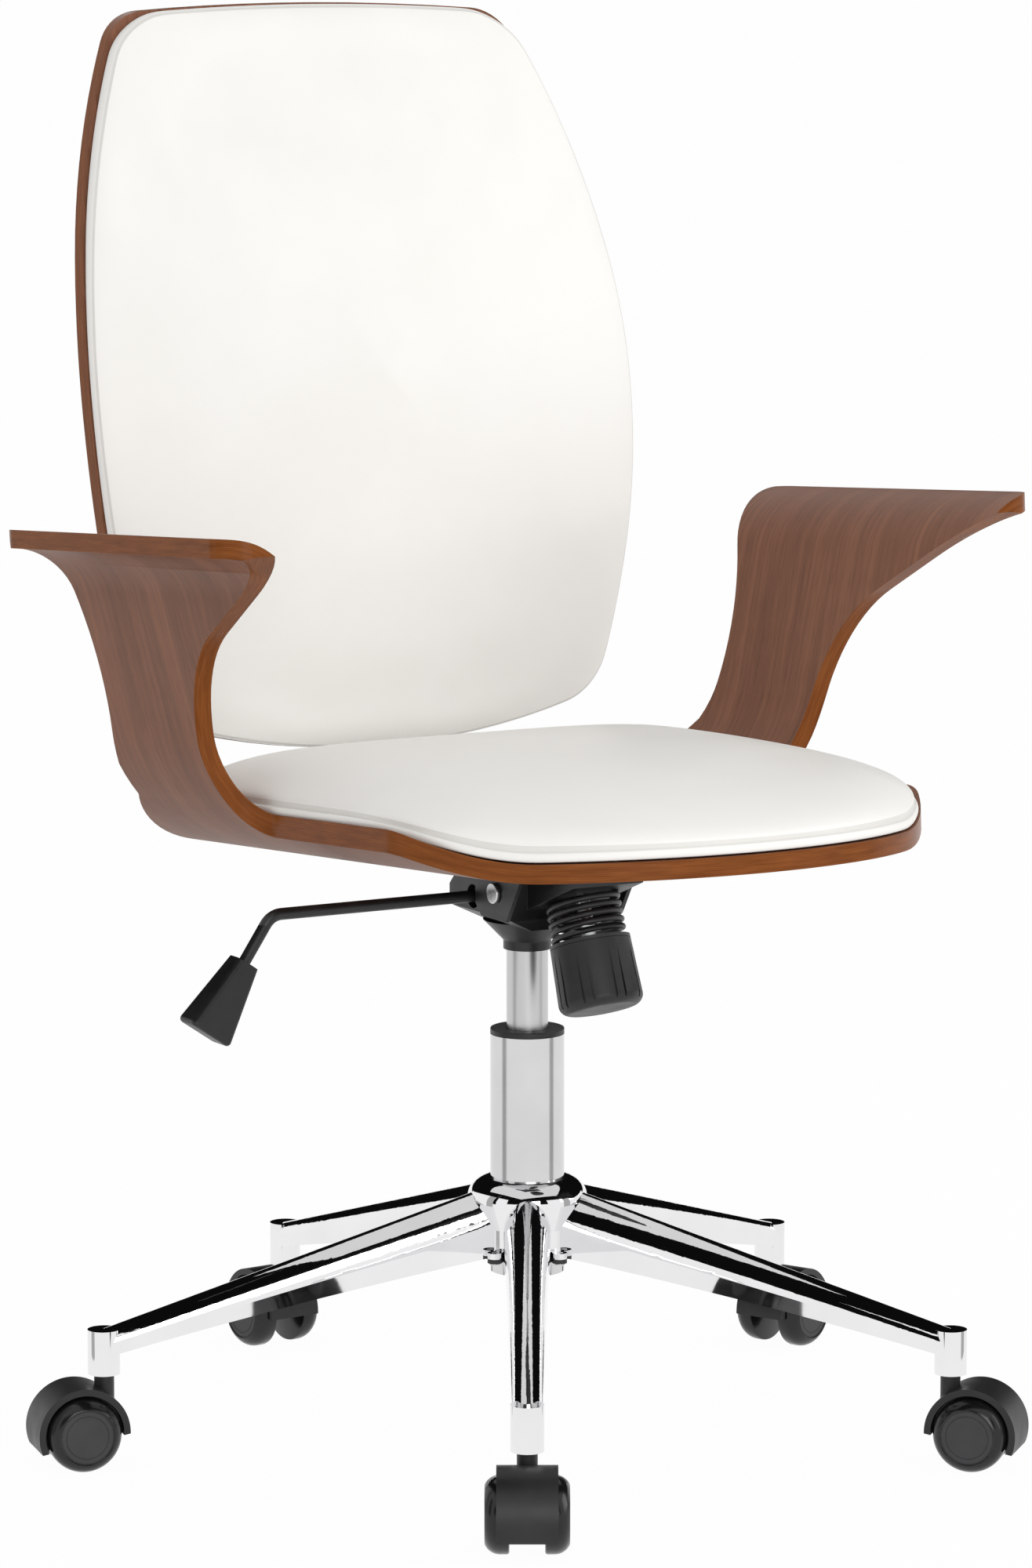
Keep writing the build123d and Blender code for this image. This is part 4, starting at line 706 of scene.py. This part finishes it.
def wheel(name, hub, across):
    """Caster wheel turned from its profile, with a glossy rim and a matte disc."""
    form = lathe(wheel_profile)
    for face in form.faces:
        middle = face.calc_center_median()
        on_disc = middle.z > WHEEL_OUTER - 0.0012 and math.hypot(middle.x, middle.y) < WHEEL_DISC_R - 0.0008
        face.material_index = 1 if on_disc else 0
    upright = Vector((0, 0, 1))
    turn = Matrix((across.cross(upright), upright, across)).transposed()
    bmesh.ops.transform(form, matrix=Matrix.Translation(hub) @ turn.to_4x4(), verts=form.verts)
    bmesh.ops.recalc_face_normals(form, faces=form.faces)
    settle(form, name + "_moulded", name, [name], [wheel_rim, wheel_disc], 32.0)


for number, heading in enumerate(LEG_HEADINGS, start=1):
    out = Vector((math.cos(math.radians(heading)), math.sin(math.radians(heading)), 0))
    axle = Vector((out.y, -out.x, 0))
    hub = out * (SOCKET_CIRCLE_R + CASTER_TRAIL) + Vector((0, 0, WHEEL_R))
    wheel(f"caster_{number}_wheel_left", hub, axle)
    wheel(f"caster_{number}_wheel_right", hub, -axle)
    softened(f"caster_{number}_hood", HOOD_EDGE_R, 30.0, 3)

# Mechanism
for name, width in (("mechanism_housing", 0.0012), ("seat_plate", 0.0006), ("back_bracket", 0.0009),
                    ("tension_knob", 0.0006), ("pivot_pin", 0.0008),
                    ("seat_screws", 0.0006), ("bracket_screws", 0.0006), ("back_screws", 0.0006),
                    ("column_bush", 0.0008), ("hub_rivets", 0.0005)):
    softened(name, width)
softened("lever_grip", GRIP_END_R, 60.0, 4)

coil = merged_copy("tension_spring")
spring = settle(coil, "tension_spring_coil", "lift_head", ["tension_spring"], [coat], 60.0)
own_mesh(spring)


# Studio
def studio_plane(name, size, place, facing):
    """Flat stage piece with its middle at a place, facing a direction."""
    form = bmesh.new()
    bmesh.ops.create_grid(form, x_segments=1, y_segments=1, size=0.5)
    bmesh.ops.scale(form, vec=(size[0], size[1], 1), verts=form.verts)
    turn = Vector(facing).to_track_quat("Z", "Y").to_matrix().to_4x4()
    bmesh.ops.transform(form, matrix=Matrix.Translation(place) @ turn, verts=form.verts)
    mesh = bpy.data.meshes.new(name)
    form.to_mesh(mesh)
    form.free()
    card = bpy.data.objects.new(name, mesh)
    bpy.context.scene.collection.objects.link(card)
    return card


def seen_share(tree):
    """1 for rays from the camera, from gloss and through glass, and 0 for the rest."""
    path = node(tree, "LightPath")
    both = node(tree, "Math", operation="MAXIMUM")
    tree.links.new(path.outputs["Is Camera Ray"], both.inputs[0])
    tree.links.new(path.outputs["Is Glossy Ray"], both.inputs[1])
    every = node(tree, "Math", operation="MAXIMUM")
    tree.links.new(both.outputs[0], every.inputs[0])
    tree.links.new(path.outputs["Is Transmission Ray"], every.inputs[1])
    return every.outputs[0]


floor = studio_plane("studio_floor", (400, 400), (0, 0, 0), (0, 0, 1))
paper = bpy.data.materials.new("white_floor")
paper.use_nodes = True
tree = paper.node_tree
glow = node(tree, "Emission", Color=(1, 1, 1, 1), Strength=1.0)
plain = node(tree, "BsdfDiffuse", Color=(0.9, 0.9, 0.9, 1))
blend = node(tree, "MixShader")
share = node(tree, "Math", operation="MULTIPLY")
share.inputs[1].default_value = FLOOR_GLOW_SHARE
tree.links.new(seen_share(tree), share.inputs[0])
tree.links.new(share.outputs[0], blend.inputs["Fac"])
tree.links.new(plain.outputs[0], blend.inputs[1])
tree.links.new(glow.outputs[0], blend.inputs[2])
tree.links.new(blend.outputs[0], tree.nodes["Material Output"].inputs["Surface"])
floor.data.materials.append(paper)

world = bpy.data.worlds.new("studio")
bpy.context.scene.world = world
world.use_nodes = True
tree = world.node_tree
level = node(tree, "MapRange")
level.inputs["To Min"].default_value = WORLD_LIGHT
level.inputs["To Max"].default_value = 1.0
tree.links.new(seen_share(tree), level.inputs["Value"])
tree.links.new(level.outputs["Result"], tree.nodes["Background"].inputs["Strength"])
tree.nodes["Background"].inputs["Color"].default_value = (1, 1, 1, 1)


def lamp(name, place, target, size, power):
    """Soft square lamp at a place, aimed at a target."""
    light = bpy.data.lights.new(name, "AREA")
    light.shape = "SQUARE"
    light.size = size
    light.energy = power
    made = bpy.data.objects.new(name, light)
    made.location = place
    made.rotation_euler = (Vector(target) - Vector(place)).to_track_quat("-Z", "Y").to_euler()
    bpy.context.scene.collection.objects.link(made)


lamp("key", (-1.4, -4.1, 1.7), (0, 0, 0.55), 2.2, 62)
lamp("fill", (3.2, -2.2, 2.0), (0, 0, 0.5), 2.5, 40)


def card_finish(name, glow):
    """Plain tone on a card's front; its back lets light through."""
    material = bpy.data.materials.new(name)
    material.use_nodes = True
    tree = material.node_tree
    front = node(tree, "Emission", Color=(1, 1, 1, 1), Strength=glow)
    back = node(tree, "BsdfTransparent")
    blend = node(tree, "MixShader")
    tree.links.new(node(tree, "NewGeometry").outputs["Backfacing"], blend.inputs["Fac"])
    tree.links.new(front.outputs[0], blend.inputs[1])
    tree.links.new(back.outputs[0], blend.inputs[2])
    tree.links.new(blend.outputs[0], tree.nodes["Material Output"].inputs["Surface"])
    return material


# Cards seen only in reflections
black_card = card_finish("black_card", 0.004)
grey_card = card_finish("grey_card", 0.45)
# Glowing pale card: a painted highlight in the legs' reflections near the hub.
highlight_card = card_finish("highlight_card", 0.75)
for name, size, place, facing, tone in (
    ("card_behind", (7.0, 1.1), (2.0, 3.4, 1.15), (-0.5, -0.866, 0), black_card),
    ("card_front", (9.0, 3.0), (-2.6, -4.6, 2.75), (0.5, 0.866, 0), black_card),
    ("card_above", (3.0, 1.2), (0.8, 1.2, 3.4), (0, 0, -1), black_card),
    ("card_left", (1.0, 2.6), (-3.4, 0.6, 1.5), (0.95, -0.2, 0), black_card),
    # Black card under the seat: painted shade of the seat's underside, seen in the reflections of the legs
    # and arms.
    ("card_under_seat", (1.4, 1.6), (0.35, 0.4, 0.365), (0, 0, -1), black_card),
    # Glowing pale card under the hub: painted highlight on the legs near the hub, below the dark underside
    # of the seat.
    ("card_under_hub", (0.34, 0.34), (-0.02, -0.035, 0.36), (0, 0, -1), highlight_card),
    ("card_low_left", (0.16, 0.8), (-0.58, 0.155, 0.4), (0.966, -0.26, 0), grey_card),
    ("card_low_right", (0.16, 0.8), (0.46, -0.386, 0.4), (-0.766, 0.643, 0), grey_card),
):
    card = studio_plane(name, size, place, facing)
    card.data.materials.append(tone)
    card.visible_camera = False
    card.visible_diffuse = False
    card.visible_shadow = False

# Camera at the photograph's angle; the image is 1316 by 2000
camera = bpy.data.cameras.new("camera")
camera.lens = CAMERA_LENS
camera.sensor_width = 36.0
camera.shift_x = CAMERA_SHIFT_X
viewer = bpy.data.objects.new("camera", camera)
viewer.location = CAMERA_PLACE
viewer.rotation_euler = (math.radians(90 - CAMERA_DIP), 0, math.radians(CAMERA_HEADING))
bpy.context.scene.collection.objects.link(viewer)
bpy.context.scene.camera = viewer

bpy.context.scene.view_settings.view_transform = "Standard"
